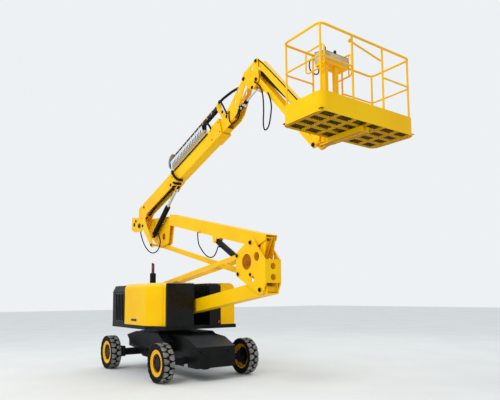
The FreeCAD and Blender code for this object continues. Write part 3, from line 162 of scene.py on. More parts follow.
def dust_and_sheen_on_top(tree, surface, ramp, dust_and_sheen, amount):
    """Mixes a pale tone into the colour of faces that look up: partly dust, partly a painted sheen of the sky."""
    shape = add(tree, "ShaderNodeNewGeometry")
    parts = add(tree, "ShaderNodeSeparateXYZ", links={"Vector": shape.outputs["Normal"]})
    mask = add(tree, "ShaderNodeMapRange", values={"From Min": 0.3, "From Max": 0.95, "To Max": amount},
               links={"Value": parts.outputs["Z"]})
    mix = add(tree, "ShaderNodeMix", settings={"data_type": "RGBA"}, values={7: linear(dust_and_sheen)},
              links={0: mask.outputs["Result"], 6: ramp.outputs["Color"]})
    tree.links.new(mix.outputs[2], surface.inputs["Base Color"])


def yellow_enamel():
    """Two-pack polyurethane enamel sprayed on steel: even, glossy, with a slight orange peel."""
    material, tree, surface = new_material("yellow_enamel", "#FEC400", 0.42)
    surface.inputs["Specular IOR Level"].default_value = 0.1
    where, _, ramp = two_tone(tree, surface, "#FBBE00", "#FFCA00", 1.4)
    # Painted highlight: faces that look up are mixed towards pale yellow, a sheen of the sky with some dust.
    dust_and_sheen_on_top(tree, surface, ramp, "#FFE680", 0.6)
    grain(tree, surface, where, 260.0, 0.08, 0.0004)
    vary_roughness(tree, surface, where, 0.32, 0.48, 5.0)
    return material


def floor_enamel():
    """The same enamel on the platform floor, with painted shade: dark brown mixed in on the faces that look down."""
    material, tree, surface = new_material("yellow_enamel_painted_shade_below", "#FEC400", 0.42)
    surface.inputs["Specular IOR Level"].default_value = 0.1
    where, _, ramp = two_tone(tree, surface, "#FBBE00", "#FFCA00", 1.4)
    shape = add(tree, "ShaderNodeNewGeometry")
    parts = add(tree, "ShaderNodeSeparateXYZ", links={"Vector": shape.outputs["Normal"]})
    # Painted shade: faces that look down are mixed towards dark brown, by up to three quarters.
    mask = add(tree, "ShaderNodeMapRange", values={"From Min": -0.9, "From Max": -0.4, "To Min": 0.75, "To Max": 0.0},
               links={"Value": parts.outputs["Z"]})
    mix = add(tree, "ShaderNodeMix", settings={"data_type": "RGBA"}, values={7: linear("#6E4A08")},
              links={0: mask.outputs["Result"], 6: ramp.outputs["Color"]})
    tree.links.new(mix.outputs[2], surface.inputs["Base Color"])
    grain(tree, surface, where, 260.0, 0.08, 0.0004)
    return material


def wheel_radius(tree, where):
    """Distance of a point from its wheel's axle, the same for all four wheels."""
    parts = add(tree, "ShaderNodeSeparateXYZ", links={"Vector": where.outputs["Object"]})
    along = add(tree, "ShaderNodeMath", settings={"operation": "SUBTRACT"}, values={1: WHEEL_MIDDLE_X},
                links={0: parts.outputs["X"]})
    either = add(tree, "ShaderNodeMath", settings={"operation": "ABSOLUTE"}, links={0: along.outputs[0]})
    x = add(tree, "ShaderNodeMath", settings={"operation": "SUBTRACT"}, values={1: HALF_WHEELBASE},
            links={0: either.outputs[0]})
    z = add(tree, "ShaderNodeMath", settings={"operation": "SUBTRACT"}, values={1: TYRE_RADIUS},
            links={0: parts.outputs["Z"]})
    joined = add(tree, "ShaderNodeCombineXYZ", links={"X": x.outputs[0], "Z": z.outputs[0]})
    return add(tree, "ShaderNodeVectorMath", settings={"operation": "LENGTH"}, links={0: joined.outputs[0]})


def ring_mix(tree, surface, radius, inside, outside, edge, blend=0.004):
    """Base colour of one tone within a distance from the axle and another beyond it."""
    mask = add(tree, "ShaderNodeMapRange", values={"From Min": edge - blend, "From Max": edge + blend},
               links={"Value": radius.outputs["Value"]})
    mix = add(tree, "ShaderNodeMix", settings={"data_type": "RGBA"}, links={0: mask.outputs["Result"]})
    for socket, tone in ((6, inside), (7, outside)):
        if isinstance(tone, str):
            mix.inputs[socket].default_value = linear(tone)
        else:
            tree.links.new(tone, mix.inputs[socket])
    tree.links.new(mix.outputs[2], surface.inputs["Base Color"])


def rim_enamel():
    """Pressed steel rim: yellow outside; black within 0.186 m of the axle, the hub's own black and painted shade over
    the recessed disc.
    """
    material, tree, surface = new_material("rim_enamel", "#F8B800", 0.42)
    surface.inputs["Specular IOR Level"].default_value = 0.12
    where = add(tree, "ShaderNodeTexCoord")
    # Within 0.186 m of the axle the colour is black: the hub's own black, and painted shade over the recessed disc
    # around it.
    ring_mix(tree, surface, wheel_radius(tree, where), "#0D0D0E", "#F4A800", 0.186)
    grain(tree, surface, where, 240.0, 0.10, 0.0005)
    vary_roughness(tree, surface, where, 0.32, 0.5, 9.0)
    return material


def black_enamel():
    """Semi-gloss black enamel on plate: road dust dulls it in patches."""
    material, tree, surface = new_material("black_enamel", "#0E0E0F", 0.4)
    surface.inputs["Specular IOR Level"].default_value = 0.12
    where, _, ramp = two_tone(tree, surface, "#0B0B0C", "#161718", 3.0)
    # Faces that look up are mixed a little towards pale grey: partly dust, partly a painted sheen of the sky.
    dust_and_sheen_on_top(tree, surface, ramp, "#8C949C", 0.12)
    grain(tree, surface, where, 220.0, 0.10, 0.0005)
    vary_roughness(tree, surface, where, 0.34, 0.55, 6.0)
    return material


def moulded_black():
    """Glass-fibre cover with a black gel coat: smooth and shiny, with soft waves."""
    material, tree, surface = new_material("black_gel_coat", "#0C0B0B", 0.25, coat=0.06)
    surface.inputs["Specular IOR Level"].default_value = 0.15
    where, _, ramp = two_tone(tree, surface, "#090909", "#131211", 2.0)
    # Painted reflection: faces that look up are mixed strongly towards pale blue-grey, the sky's sheen on the gel coat,
    # with some dust.
    dust_and_sheen_on_top(tree, surface, ramp, "#A4ABB2", 0.8)
    grain(tree, surface, where, 14.0, 0.10, 0.002)
    vary_roughness(tree, surface, where, 0.2, 0.34, 4.0)
    return material


def tyre_rubber():
    """Solid tyre rubber: black, dusty grey on the worn lug faces and in the pores."""
    material, tree, surface = new_material("tyre_rubber", "#2A2A2A", 0.85)
    surface.inputs["Specular IOR Level"].default_value = 0.15
    where, _, worn = two_tone(tree, surface, "#5C5B58", "#96948F", 11.0, detail=8.0, low=0.3, high=0.7)
    ring_mix(tree, surface, wheel_radius(tree, where), "#131314", worn.outputs["Color"], 0.3585, 0.003)
    grain(tree, surface, where, 190.0, 0.35, 0.001)
    vary_roughness(tree, surface, where, 0.74, 0.95, 12.0)
    return material


def galvanised():
    """Hot-dip galvanised sheet: dull grey spangle, patches of 10 to 20 mm."""
    material, tree, surface = new_material("galvanised_sheet", "#D3DADE", 0.5, metallic=0.25)
    where = add(tree, "ShaderNodeTexCoord")
    cells = add(tree, "ShaderNodeTexVoronoi", values={"Scale": 60.0}, links={"Vector": where.outputs["Object"]})
    ramp = add(tree, "ShaderNodeValToRGB", links={"Fac": cells.outputs["Color"]})
    ramp.color_ramp.elements[0].color = linear("#C2CCD2")
    ramp.color_ramp.elements[1].color = linear("#E2E8EA")
    tree.links.new(ramp.outputs["Color"], surface.inputs["Base Color"])
    vary_roughness(tree, surface, where, 0.34, 0.52, 30.0)
    return material


def chrome():
    """Hard chrome on ground bar: bright, with a thin film of oil."""
    material, tree, surface = new_material("hard_chrome", "#D2D3D4", 0.16, metallic=1.0)
    where = add(tree, "ShaderNodeTexCoord")
    vary_roughness(tree, surface, where, 0.10, 0.24, 18.0)
    return material


def hose_rubber():
    """Hydraulic hose cover: black synthetic rubber with a fine cloth-marked skin."""
    material, tree, surface = new_material("hose_rubber", "#0C0C0D", 0.55)
    surface.inputs["Specular IOR Level"].default_value = 0.12
    where, _, _ = two_tone(tree, surface, "#08080A", "#101011", 30.0)
    grain(tree, surface, where, 420.0, 0.2, 0.0004)
    return material


def console_grey():
    """Baked epoxy powder on a sheet-metal control box: beige grey, fine orange peel."""
    material, tree, surface = new_material("beige_powder_coat", "#BDB096", 0.5)
    where, _, _ = two_tone(tree, surface, "#B3A587", "#C9BD9F", 8.0)
    grain(tree, surface, where, 350.0, 0.15, 0.0004)
    return material


def cast_iron():
    """Painted cast iron: dark grey with the sand-cast skin showing through."""
    material, tree, surface = new_material("painted_cast_iron", "#18191B", 0.6)
    surface.inputs["Specular IOR Level"].default_value = 0.15
    where, _, _ = two_tone(tree, surface, "#0E0F10", "#1B1D1F", 7.0)
    grain(tree, surface, where, 160.0, 0.4, 0.0015)
    return material


def red_lens():
    """Moulded acrylic lens: deep red and glossy, with fine flutes."""
    material, tree, surface = new_material("red_acrylic_lens", "#A3120D", 0.12, coat=0.5, ior=1.49)
    where, _, _ = two_tone(tree, surface, "#8E0D09", "#B81A12", 60.0)
    grain(tree, surface, where, 500.0, 0.15, 0.0005)
    return material


def woven_sleeve():
    """Woven nylon sleeve over a hose bundle: tan, with paler twill lines that run round it on a slant."""
    material, tree, surface = new_material("woven_nylon_sleeve", "#B98D50", 0.8)
    where = add(tree, "ShaderNodeTexCoord")
    turned = add(tree, "ShaderNodeMapping", values={"Rotation": (0.0, math.radians(62.0), 0.0)},
                 links={"Vector": where.outputs["Object"]})
    # One slanted band is 44 mm wide, as coarse as the render can show
    bands = add(tree, "ShaderNodeTexWave", values={"Scale": 7.0, "Distortion": 1.2, "Detail": 3.0},
                links={"Vector": turned.outputs["Vector"]})
    ramp = add(tree, "ShaderNodeValToRGB", links={"Fac": bands.outputs["Fac"]})
    ramp.color_ramp.elements[0].position = 0.45
    ramp.color_ramp.elements[0].color = linear("#A97B3C")
    ramp.color_ramp.elements[1].position = 0.95
    ramp.color_ramp.elements[1].color = linear("#C4AA80")
    tree.links.new(ramp.outputs["Color"], surface.inputs["Base Color"])
    grain(tree, surface, where, 500.0, 0.4, 0.001)
    return material


def rusty_steel():
    """Bare steel pipe that heat has scaled: brown rust over dark mill scale, rough."""
    material, tree, surface = new_material("rusted_steel", "#6B3A22", 0.8)
    where, _, _ = two_tone(tree, surface, "#3A2018", "#8A4B2A", 22.0, detail=8.0)
    grain(tree, surface, where, 180.0, 0.5, 0.0015)
    return material


def zinc_plate():
    """Zinc-plated fittings: pale silver, slightly milky."""
    material, tree, surface = new_material("zinc_plated_steel", "#C9CACA", 0.3, metallic=0.9)
    where, _, _ = two_tone(tree, surface, "#B4B6B6", "#D8D9D8", 40.0)
    vary_roughness(tree, surface, where, 0.22, 0.4, 30.0)
    return material


def chain_tab():
    """Glass-filled nylon opening bars of the hose chain: amber yellow."""
    material, tree, surface = new_material("amber_nylon", "#E8940C", 0.5)
    surface.inputs["Specular IOR Level"].default_value = 0.3
    where, _, _ = two_tone(tree, surface, "#DC8608", "#F0A21A", 40.0)
    grain(tree, surface, where, 300.0, 0.2, 0.0005)
    return material


def dark_mesh():
    """Expanded steel under the platform: its strands dark brown as painted shade under the floor, mottled in patches.
    """
    material, tree, surface = new_material("shade_darkened_expanded_metal", "#5A4216", 0.75)
    # Painted shade: the strands' dark brown stands for the shade under the floor.
    surface.inputs["Specular IOR Level"].default_value = 0.15
    where, _, _ = two_tone(tree, surface, "#4A3510", "#7A5A1C", 16.0, detail=6.0)
    grain(tree, surface, where, 200.0, 0.3, 0.001)
    return material


def painted_underside_shade():
    """A dark brown sheet on the underside of the deck plate: painted shade under the floor, matt and uneven."""
    material, tree, surface = new_material("painted_shade_brown", "#2E2210", 0.85)
    surface.inputs["Specular IOR Level"].default_value = 0.1
    where, _, _ = two_tone(tree, surface, "#241A0B", "#3F2F14", 9.0, detail=7.0)
    grain(tree, surface, where, 260.0, 0.3, 0.0008)
    return material


def shaded_orange():
    """Orange-brown inside the elbow: painted shade for the shaded inner face of the elbow's far plate."""
    material, tree, surface = new_material("painted_shade_orange", "#B06408", 0.7)
    surface.inputs["Specular IOR Level"].default_value = 0.1
    where, _, _ = two_tone(tree, surface, "#9A5404", "#C2740E", 5.0)
    grain(tree, surface, where, 240.0, 0.15, 0.0006)
    return material


def flange_enamel():
    """The wheel's enamel on the rolled flange: yellow with a warmer tone where it is worn."""
    material, tree, surface = new_material("flange_enamel", "#F9B800", 0.4)
    surface.inputs["Specular IOR Level"].default_value = 0.12
    where, _, _ = two_tone(tree, surface, "#EFA400", "#FFC400", 26.0)
    grain(tree, surface, where, 240.0, 0.12, 0.0005)
    return material


FINISH = {
    "yellow": yellow_enamel(), "floor": floor_enamel(), "black": black_enamel(), "gel": moulded_black(), "tyre": tyre_rubber(),
    "galvanised": galvanised(), "chrome": chrome(), "hose": hose_rubber(), "console": console_grey(),
    "iron": cast_iron(), "lens": red_lens(), "rim": rim_enamel(), "sleeve": woven_sleeve(), "rust": rusty_steel(),
    "zinc": zinc_plate(), "amber": chain_tab(), "mesh": dark_mesh(), "underside_shade": painted_underside_shade(),
    "orange": shaded_orange(), "flange": flange_enamel(),
}

# The record's slot of each CAD node, and the finish that it gets here
SLOT_FINISH = {"yellow": "yellow", "black": "black", "dark": "iron", "moulded": "gel", "tyre": "tyre",
               "galvanised": "galvanised", "chrome": "chrome", "hose": "hose", "console": "console",
               "lamp": "lens"}


def paint_nodes():
    for part in frame["record"]["subparts"]:
        mesh = nodes[part["node"]].data
        mesh.materials.clear()
        finish = "rim" if part["node"].startswith("rim_") else SLOT_FINISH[part["material_slot"]]
        if part["node"] == "platform_floor":
            finish = "floor"
        mesh.materials.append(FINISH[finish])


# Floor and light: an even studio, with the key from the camera's left and above

def light_studio():
    bpy.ops.mesh.primitive_plane_add(size=120, location=(0, 0, GROUND - 0.001))
    floor = bpy.context.active_object
    floor.name = "studio_floor"
    material, tree, surface = new_material("pale_studio_floor", "#EEEFEC", 0.95)
    surface.inputs["Specular IOR Level"].default_value = 0.05
    two_tone(tree, surface, "#ECEDEA", "#F1F2EF", 0.6)
    floor.data.materials.append(material)
    world = bpy.data.worlds.new("studio")
    bpy.context.scene.world = world
    world.use_nodes = True
    tree = world.node_tree
    sky = tree.nodes["Background"]
    sky.inputs["Color"].default_value = linear("#E6EBF0")
    sky.inputs["Strength"].default_value = 0.95
    path = add(tree, "ShaderNodeLightPath")
    white = add(tree, "ShaderNodeBackground", values={"Color": linear("#EEF1F3"), "Strength": 1.0})
    mix = add(tree, "ShaderNodeMixShader", links={0: path.outputs["Is Camera Ray"]})
    tree.links.new(sky.outputs[0], mix.inputs[1])
    tree.links.new(white.outputs[0], mix.inputs[2])
    tree.links.new(mix.outputs[0], tree.nodes["World Output"].inputs["Surface"])
    for name, spot, size, power in (("key", (3.5, -8.5, 11.0), 5.0, 520.0), ("fill", (-7.0, -7.0, 6.0), 7.0, 60.0),
                                    ("back", (-3.0, 9.0, 9.0), 7.0, 120.0)):
        data = bpy.data.lights.new(name, "AREA")
        data.size = size
        data.energy = power
        lamp = bpy.data.objects.new(name, data)
        bpy.context.scene.collection.objects.link(lamp)
        lamp.location = spot
        lamp.rotation_euler = (Vector((0, 0, 2.4)) - Vector(spot)).to_track_quat("-Z", "Y").to_euler()
    bpy.context.scene.view_settings.view_transform = "Standard"


# Modelling by hand: small helpers around Blender's own operators

def start_fresh():
    if bpy.context.object and bpy.context.object.mode != "OBJECT":
        bpy.ops.object.mode_set(mode="OBJECT")
    bpy.ops.object.select_all(action="DESELECT")


def only(obj):
    start_fresh()
    obj.select_set(True)
    bpy.context.view_layer.objects.active = obj
    return obj


def settle(obj):
    """Puts the object's place and size into its mesh."""
    only(obj)
    bpy.ops.object.transform_apply(location=True, rotation=True, scale=True)
    return obj


def block(name, low, high, round_off=0.0, segments=2):
    """A plate or block between two corners, with its edges rounded off."""
    low, high = Vector(low), Vector(high)
    start_fresh()
    bpy.ops.mesh.primitive_cube_add(size=1, location=(low + high) / 2)
    obj = bpy.context.active_object
    obj.name = name
    obj.scale = high - low
    settle(obj)
    if round_off:
        bevel(obj, round_off, segments)
    return obj


def rod(name, foot, top, radius, vertices=24, round_off=0.0):
    """A round bar from foot to top, with its rims rounded off."""
    foot, top = Vector(foot), Vector(top)
    start_fresh()
    bpy.ops.mesh.primitive_cylinder_add(vertices=vertices, radius=radius, depth=(top - foot).length)
    obj = bpy.context.active_object
    obj.name = name
    obj.rotation_mode = "QUATERNION"
    obj.rotation_quaternion = (top - foot).to_track_quat("Z", "Y")
    obj.location = (foot + top) / 2
    settle(obj)
    if round_off:
        bevel(obj, round_off, 2, angle=50)
    return obj


def bevel(obj, width, segments=2, angle=30):
    only(obj)
    mod = obj.modifiers.new("edges", "BEVEL")
    mod.width = width
    mod.segments = segments
    mod.limit_method = "ANGLE"
    mod.angle_limit = math.radians(angle)
    bpy.ops.object.modifier_apply(modifier=mod.name)


def cut(obj, tool):
    """Cuts the tool's shape out of the object and removes the tool."""
    only(obj)
    mod = obj.modifiers.new("cut", "BOOLEAN")
    mod.object = tool
    mod.operation = "DIFFERENCE"
    mod.solver = "EXACT"
    bpy.ops.object.modifier_apply(modifier=mod.name)
    bpy.data.objects.remove(tool)


def copy_of(obj, name):
    twin = obj.copy()
    twin.data = obj.data.copy()
    twin.name = name
    bpy.context.scene.collection.objects.link(twin)
    return twin


def join(name, pieces):
    start_fresh()
    for piece in pieces:
        piece.select_set(True)
    bpy.context.view_layer.objects.active = pieces[0]
    bpy.ops.object.join()
    pieces[0].name = name
    return pieces[0]


def finish_piece(obj, finish, body, smooth=35):
    """Smooth faces within an angle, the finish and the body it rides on."""
    only(obj)
    if obj.type == "MESH":
        bpy.ops.object.shade_smooth_by_angle(angle=math.radians(smooth))
    obj.data.materials.clear()
    obj.data.materials.append(FINISH[finish])
    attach(obj, body)
    return obj


# Tyres: solid rubber with two staggered rows of arrow-shaped lugs

TYRE_HALF = 0.1175
BEAD_RADIUS = 0.25
LUGS = 18
TREAD = 0.028


def wheel_centre(name):
    low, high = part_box("tyre_" + name)
    return (low + high) / 2


def wrap_round(obj, radius):
    """Rolls a strip that lies along x, with its height in z, into a ring round the y axis."""
    for v in obj.data.vertices:
        angle = v.co.x / radius
        r = v.co.z
        v.co = Vector((r * math.sin(angle), v.co.y, r * math.cos(angle)))
    obj.data.update()


def lug_row(side):
    """One row of lugs as a flat strip: x along the tread, y across, z from the axle."""
    pitch = 2 * math.pi * TYRE_RADIUS / LUGS
    outline = [(-0.055, 0.112), (0.045, 0.112), (0.062, 0.064), (0.030, 0.006), (-0.018, 0.004),
               (-0.042, 0.058)]
    start_fresh()
    bpy.ops.mesh.primitive_circle_add(vertices=len(outline), radius=0.05, fill_type="NGON",
                                      location=(0, 0, TYRE_RADIUS - TREAD))
    lug = bpy.context.active_object
    settle(lug)
    for v, (x, y) in zip(lug.data.vertices, outline):
        v.co.x, v.co.y = x, y * side
    only(lug)
    bpy.ops.object.mode_set(mode="EDIT")
    bpy.ops.mesh.select_all(action="SELECT")
    bpy.ops.mesh.extrude_region_move(TRANSFORM_OT_translate={"value": (0, 0, TREAD)})
    bpy.ops.mesh.select_all(action="SELECT")
    bpy.ops.mesh.normals_make_consistent(inside=False)
    bpy.ops.mesh.bisect(plane_co=(0, 0.04 * side, 0), plane_no=(0, 1, 0))
    bpy.ops.mesh.select_all(action="SELECT")
    bpy.ops.mesh.bisect(plane_co=(0, 0.09 * side, 0), plane_no=(0, 1, 0))
    bpy.ops.mesh.select_all(action="SELECT")
    bpy.ops.mesh.bisect(plane_co=(0.004, 0, 0), plane_no=(1, 0, 0))
    bpy.ops.object.mode_set(mode="OBJECT")
    for v in lug.data.vertices:
        if abs(v.co.y) > 0.1 and v.co.z > TYRE_RADIUS - 0.004:
            v.co.z -= 0.009
        if abs(v.co.y) > 0.1 and v.co.z < TYRE_RADIUS - 0.02:
            v.co.z -= 0.02
            v.co.y = side * (TYRE_HALF - 0.0005)
    bevel(lug, 0.004, 2, angle=40)
    only(lug)
    array = lug.modifiers.new("row", "ARRAY")
    array.count = LUGS
    array.use_relative_offset = False
    array.use_constant_offset = True
    array.constant_offset_displace = (pitch, 0, 0)
    bpy.ops.object.modifier_apply(modifier=array.name)
    if side > 0:
        for v in lug.data.vertices:
            v.co.x += pitch / 2
    wrap_round(lug, TYRE_RADIUS)
    return lug


def spun(name, section, steps=80):
    """A ring about the y axis, spun from its closed section of (y, radius) points."""
    start_fresh()
    bpy.ops.mesh.primitive_circle_add(vertices=len(section), radius=0.05, fill_type="NOTHING")
    ring = bpy.context.active_object
    ring.name = name
    settle(ring)
    for v, (y, r) in zip(ring.data.vertices, section):
        v.co = Vector((0, y, r))
    only(ring)
    bpy.ops.object.mode_set(mode="EDIT")
    bpy.ops.mesh.select_all(action="SELECT")
    bpy.ops.mesh.spin(steps=steps, angle=2 * math.pi, center=(0, 0, 0), axis=(0, 1, 0), dupli=False)
    bpy.ops.mesh.select_all(action="SELECT")
    bpy.ops.mesh.remove_doubles(threshold=0.00005)
    bpy.ops.mesh.normals_make_consistent(inside=False)
    bpy.ops.object.mode_set(mode="OBJECT")
    return ring


def carcass():
    """The tyre's body under the lugs: spun from its half section, with a rounded shoulder and a bead."""
    groove = TYRE_RADIUS - TREAD
    return spun("carcass", [(-0.092, BEAD_RADIUS + 0.001), (-0.103, 0.256), (-0.112, 0.285), (-0.1165, 0.312), (-0.113, 0.332),
                            (-0.098, groove), (0.0, groove), (0.098, groove), (0.113, 0.332), (0.1165, 0.312),
                            (0.112, 0.285),
                            (0.103, 0.256), (0.092, BEAD_RADIUS + 0.001)])


def fit_tyres():
    master = join("tyre_master", [carcass(), lug_row(1), lug_row(-1)])
    for name in ("front_right", "front_left", "rear_right", "rear_left"):
        tyre = copy_of(master, "tyre_" + name + "_tread")
        centre = wheel_centre(name)
        for v in tyre.data.vertices:
            if name.endswith("left"):
                v.co.x = -v.co.x
                v.co.y = -v.co.y
            v.co += centre
        tyre.data.update()
        finish_piece(tyre, "tyre", "wheel_" + name, smooth=30)
        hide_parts("tyre_" + name)
    bpy.data.objects.remove(master)


# Hoses: the points of their routes, in metres, from a pin and in one upright plane

M_PIVOT = (-1.47183, 3.32035)
KNUCKLE = (2.92333, 5.42781)
J_LOW = (3.30433, 5.28281)
TOWER_BASE = (1.83038, 2.64731)
PLATFORM = (4.92612, 3.82818)

# name: pin, points (x, z) from it, plane y, diameter, body
HOSES = {
    "top_hose": (M_PIVOT, [(-0.06, -0.07), (0.06, -0.33), (0.35, -0.61), (0.70, -0.74), (1.01, -0.66), (1.11, -0.42),
                           (0.90, -0.24)], -0.172, 0.026, "top_link"),
    "head_hose": (KNUCKLE, [(-0.48, -0.44), (-0.50, -0.60), (-0.38, -0.715), (-0.21, -0.70), (-0.12, -0.59),
                            (-0.15, -0.45)], -0.184, 0.024, "fly_boom"),
    "jib_hose": (J_LOW, [(-0.048, -0.03), (0.11, -0.13), (0.195, -0.33), (0.215, -0.61), (0.190, -0.86),
                         (0.235, -0.98), (0.345, -0.94), (0.395, -0.78), (0.435, -0.56), (0.33, -0.35)],
                 -0.204, 0.024, "jib_knuckle"),
    "tower_hose": (TOWER_BASE, [(-0.57, 0.225), (-0.57, 0.02), (-0.43, -0.13), (-0.25, -0.27), (-0.06, -0.33),
                                (0.11, -0.28), (0.19, -0.13)], -0.160, 0.022, "upper_riser"),
    "console_cable": (PLATFORM, [(0.06, 1.09), (0.0, 1.09), (-0.09, 1.14), (-0.105, 1.0), (0.0, 0.885),
                                 (0.075, 0.855), (0.10, 0.90), (0.09, 0.9545)], -0.380, 0.018, "platform"),
}


def hose_curve(name, points, diameter):
    data = bpy.data.curves.new(name, "CURVE")
    data.dimensions = "3D"
    line = data.splines.new("NURBS")
    line.points.add(len(points) - 1)
    for p, q in zip(line.points, points):
        p.co = (*q, 1.0)
    line.order_u = 3
    line.use_endpoint_u = True
    line.resolution_u = 16
    data.bevel_depth = diameter / 2
    data.bevel_resolution = 5
    data.use_fill_caps = True
    obj = bpy.data.objects.new(name, data)
    bpy.context.scene.collection.objects.link(obj)
    return obj


def line_length(obj):
    """The length of a hose's own line, read from its curve without its thickness."""
    bare = obj.copy()
    bare.data = obj.data.copy()
    bare.data.bevel_depth = 0
    bpy.context.scene.collection.objects.link(bare)
    bpy.context.view_layer.update()
    mesh = bpy.data.meshes.new_from_object(bare)
    total = sum((mesh.vertices[a].co - mesh.vertices[b].co).length for a, b in (e.vertices for e in mesh.edges))
    bpy.data.objects.remove(bare)
    return total


def hang_hoses():
    for node, (pin, offsets, y, diameter, body) in HOSES.items():
        points = [machine(pin[0] + dx, y, pin[1] + dz) for dx, dz in offsets]
        hose = hose_curve(node + "_line", points, diameter)
        finish_piece(hose, "hose", body)
        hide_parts(node)
        round(line_length(hose), 3)


# Fittings on the frames of the boom and the jib: x along the bar, y across the machine, z up from it

TOP_LINK_Y = -0.205
BOOM_ANGLE = 17.8
JIB_ANGLE = -47.6
LL_ELBOW = (2.66731, 2.29615)
U_ELBOW = (3.06631, 2.49515)
UL_ELBOW = (2.69531, 1.97215)
L_ELBOW = (3.32431, 1.68915)
TOWER_EYE = (3.04931, 1.95115)
TIMING_LOW = (3.01081, 1.87015)
L_BASE = (0.100, 1.236)
LL_BASE = (-0.557, 1.843)
LIFT_BASE = (-0.98083, 3.03335)
LIFT_EYE = (0.14540, 3.94251)
UL_TOP = (-0.78283, 2.79435)
U_TOP = (-0.41183, 3.31735)
J_TOP = (3.29733, 5.61081)
SLAVE_EYE = (3.18133, 5.17981)
SLAVE_BASE = (2.41331, 4.89331)
P_LOW = (4.66912, 3.78818)
P_TOP = (4.66212, 4.11618)
JIB_BASE = (3.30433, 5.42281)


def tilted(pin, angle):
    """The frame of a bar that leaves a pin at an angle above the ground."""
    return Matrix.Translation(machine(pin[0], 0, pin[1])) @ Matrix.Rotation(math.radians(-angle), 4, "Y")


ON_BOOM = tilted(M_PIVOT, BOOM_ANGLE)
ON_UPPER_BAR = tilted(J_TOP, JIB_ANGLE)


def move_onto(obj, place):
    obj.data.transform(place)
    obj.data.update()
    return obj


def slab(name, outline, y0, y1, round_off=0.0, segments=2):
    """A plate cut to an outline of (x, z) points, between two y planes."""
    start_fresh()
    bpy.ops.mesh.primitive_circle_add(vertices=len(outline), radius=0.05, fill_type="NGON")
    obj = bpy.context.active_object
    obj.name = name
    settle(obj)
    for v, (x, z) in zip(obj.data.vertices, outline):
        v.co = Vector((x, y0, z))
    only(obj)
    bpy.ops.object.mode_set(mode="EDIT")
    bpy.ops.mesh.select_all(action="SELECT")
    bpy.ops.mesh.extrude_region_move(TRANSFORM_OT_translate={"value": (0, y1 - y0, 0)})
    bpy.ops.mesh.select_all(action="SELECT")
    bpy.ops.mesh.normals_make_consistent(inside=False)
    bpy.ops.object.mode_set(mode="OBJECT")
    if round_off:
        bevel(obj, round_off, segments)
    return obj


def arc(x, z, radius, start, end, steps):
    """Points on an arc in the x, z plane, angles in degrees from the x axis."""
    turns = [math.radians(start + (end - start) * i / steps) for i in range(steps + 1)]
    return [(x + radius * math.cos(a), z + radius * math.sin(a)) for a in turns]


def in_row(obj, count, step):
    """Repeats a piece in a row of separate copies and joins them."""
    only(obj)
    mod = obj.modifiers.new("row", "ARRAY")
    mod.count = count
    mod.use_relative_offset = False
    mod.use_constant_offset = True
    mod.constant_offset_displace = step
    bpy.ops.object.modifier_apply(modifier=mod.name)
    return obj


def fixed_line(name, points, diameter):
    """A clamped hydraulic line as a mesh tube along a smooth curve through its route."""
    curve = hose_curve(name, [Vector(p) for p in points], diameter)
    curve.data.resolution_u = 8
    curve.data.bevel_resolution = 3
    only(curve)
    bpy.ops.object.convert(target="MESH")
    return bpy.context.active_object


def outer_face(node, x, z, side, reach=0.06):
    """How far out a node comes on one side of the machine, round a pin's axis."""
    near = [v.co.y for v in nodes[node].data.vertices if math.hypot(v.co.x - x, v.co.z - z) < reach]
    return max(near, key=lambda y: side * y)


# body: node that carries the caps, then (pin, cap radius, which sides)
PIN_CAPS = {
    "turntable": ("turntable_deck", [(L_BASE, 0.036, "both"), (LL_BASE, 0.034, "both")]),
    "elbow_frame": ("elbow_frame", [(L_ELBOW, 0.036, "both"), (U_ELBOW, 0.036, "both"), (UL_ELBOW, 0.033, "both"),
                                    (LL_ELBOW, 0.033, "both"), (TOWER_EYE, 0.028, "near")]),
    "top_link": ("top_link", [(M_PIVOT, 0.056, "both"), (UL_TOP, 0.034, "both"), (U_TOP, 0.036, "far"),
                              (LIFT_BASE, 0.034, "near")]),
    "jib_knuckle": ("jib_knuckle", [(KNUCKLE, 0.034, "both"), (J_LOW, 0.030, "both"), (J_TOP, 0.030, "both"),
                                    (SLAVE_EYE, 0.030, "both")]),
    "platform_bracket": ("platform_bracket", [(P_LOW, 0.032, "both"), (P_TOP, 0.030, "both")]),
    "main_boom": ("main_boom", [(LIFT_EYE, 0.032, "both")]),
}


def pin_cap(x, y, z, side, radius):
    """The end of a pin: a turned head with a raised rim, a keeper plate across it and its bolt."""
    head = rod("head", (x, y - side * 0.002, z), (x, y + side * 0.012, z), radius, 28, 0.003)
    keeper = block("keeper", (x - radius * 0.8, min(y, y + side * 0.018), z - radius * 0.22),
                   (x + radius * 0.8, max(y, y + side * 0.018), z + radius * 0.22), 0.003)
    bolt = rod("bolt", (x, y + side * 0.016, z), (x, y + side * 0.026, z), radius * 0.2, 6, 0.001)
    return join("cap", [head, keeper, bolt])


def cap_pins():
    for body, (node, pins) in PIN_CAPS.items():
        caps = []
        for pin, radius, sides in pins:
            at = machine(pin[0], 0, pin[1])
            for side in (-1, 1):
                if sides == "both" or (sides == "near") == (side < 0):
                    caps.append(pin_cap(at.x, outer_face(node, at.x, at.z, side), at.z, side, radius))
        finish_piece(join("pin_caps_" + body, caps), "black", body)


# Hose chain and its tray, in the boom's frame

TRAY_Y = (BOOM_Y - 0.060, BOOM_Y + 0.060)
TRAY_FLOOR, TRAY_TOP, TRAY_END = 0.557, 0.890, 3.230
BEND = ((1.8565, 0.7235), 0.1665)
CHAIN_Y = (BOOM_Y - 0.042, BOOM_Y + 0.042)
CHAIN_BEND = ((1.8495, 0.7025), 0.1275)
CHAIN_LINK = 0.074
CHAIN_PITCH = 0.104
CHAIN_FRONT = 3.804
CHAIN_LOW_FRONT = 3.150
BAR_PITCH = 0.175
DUCT_Y = BOOM_Y - 0.095
DUCT = (2.000, 3.400)


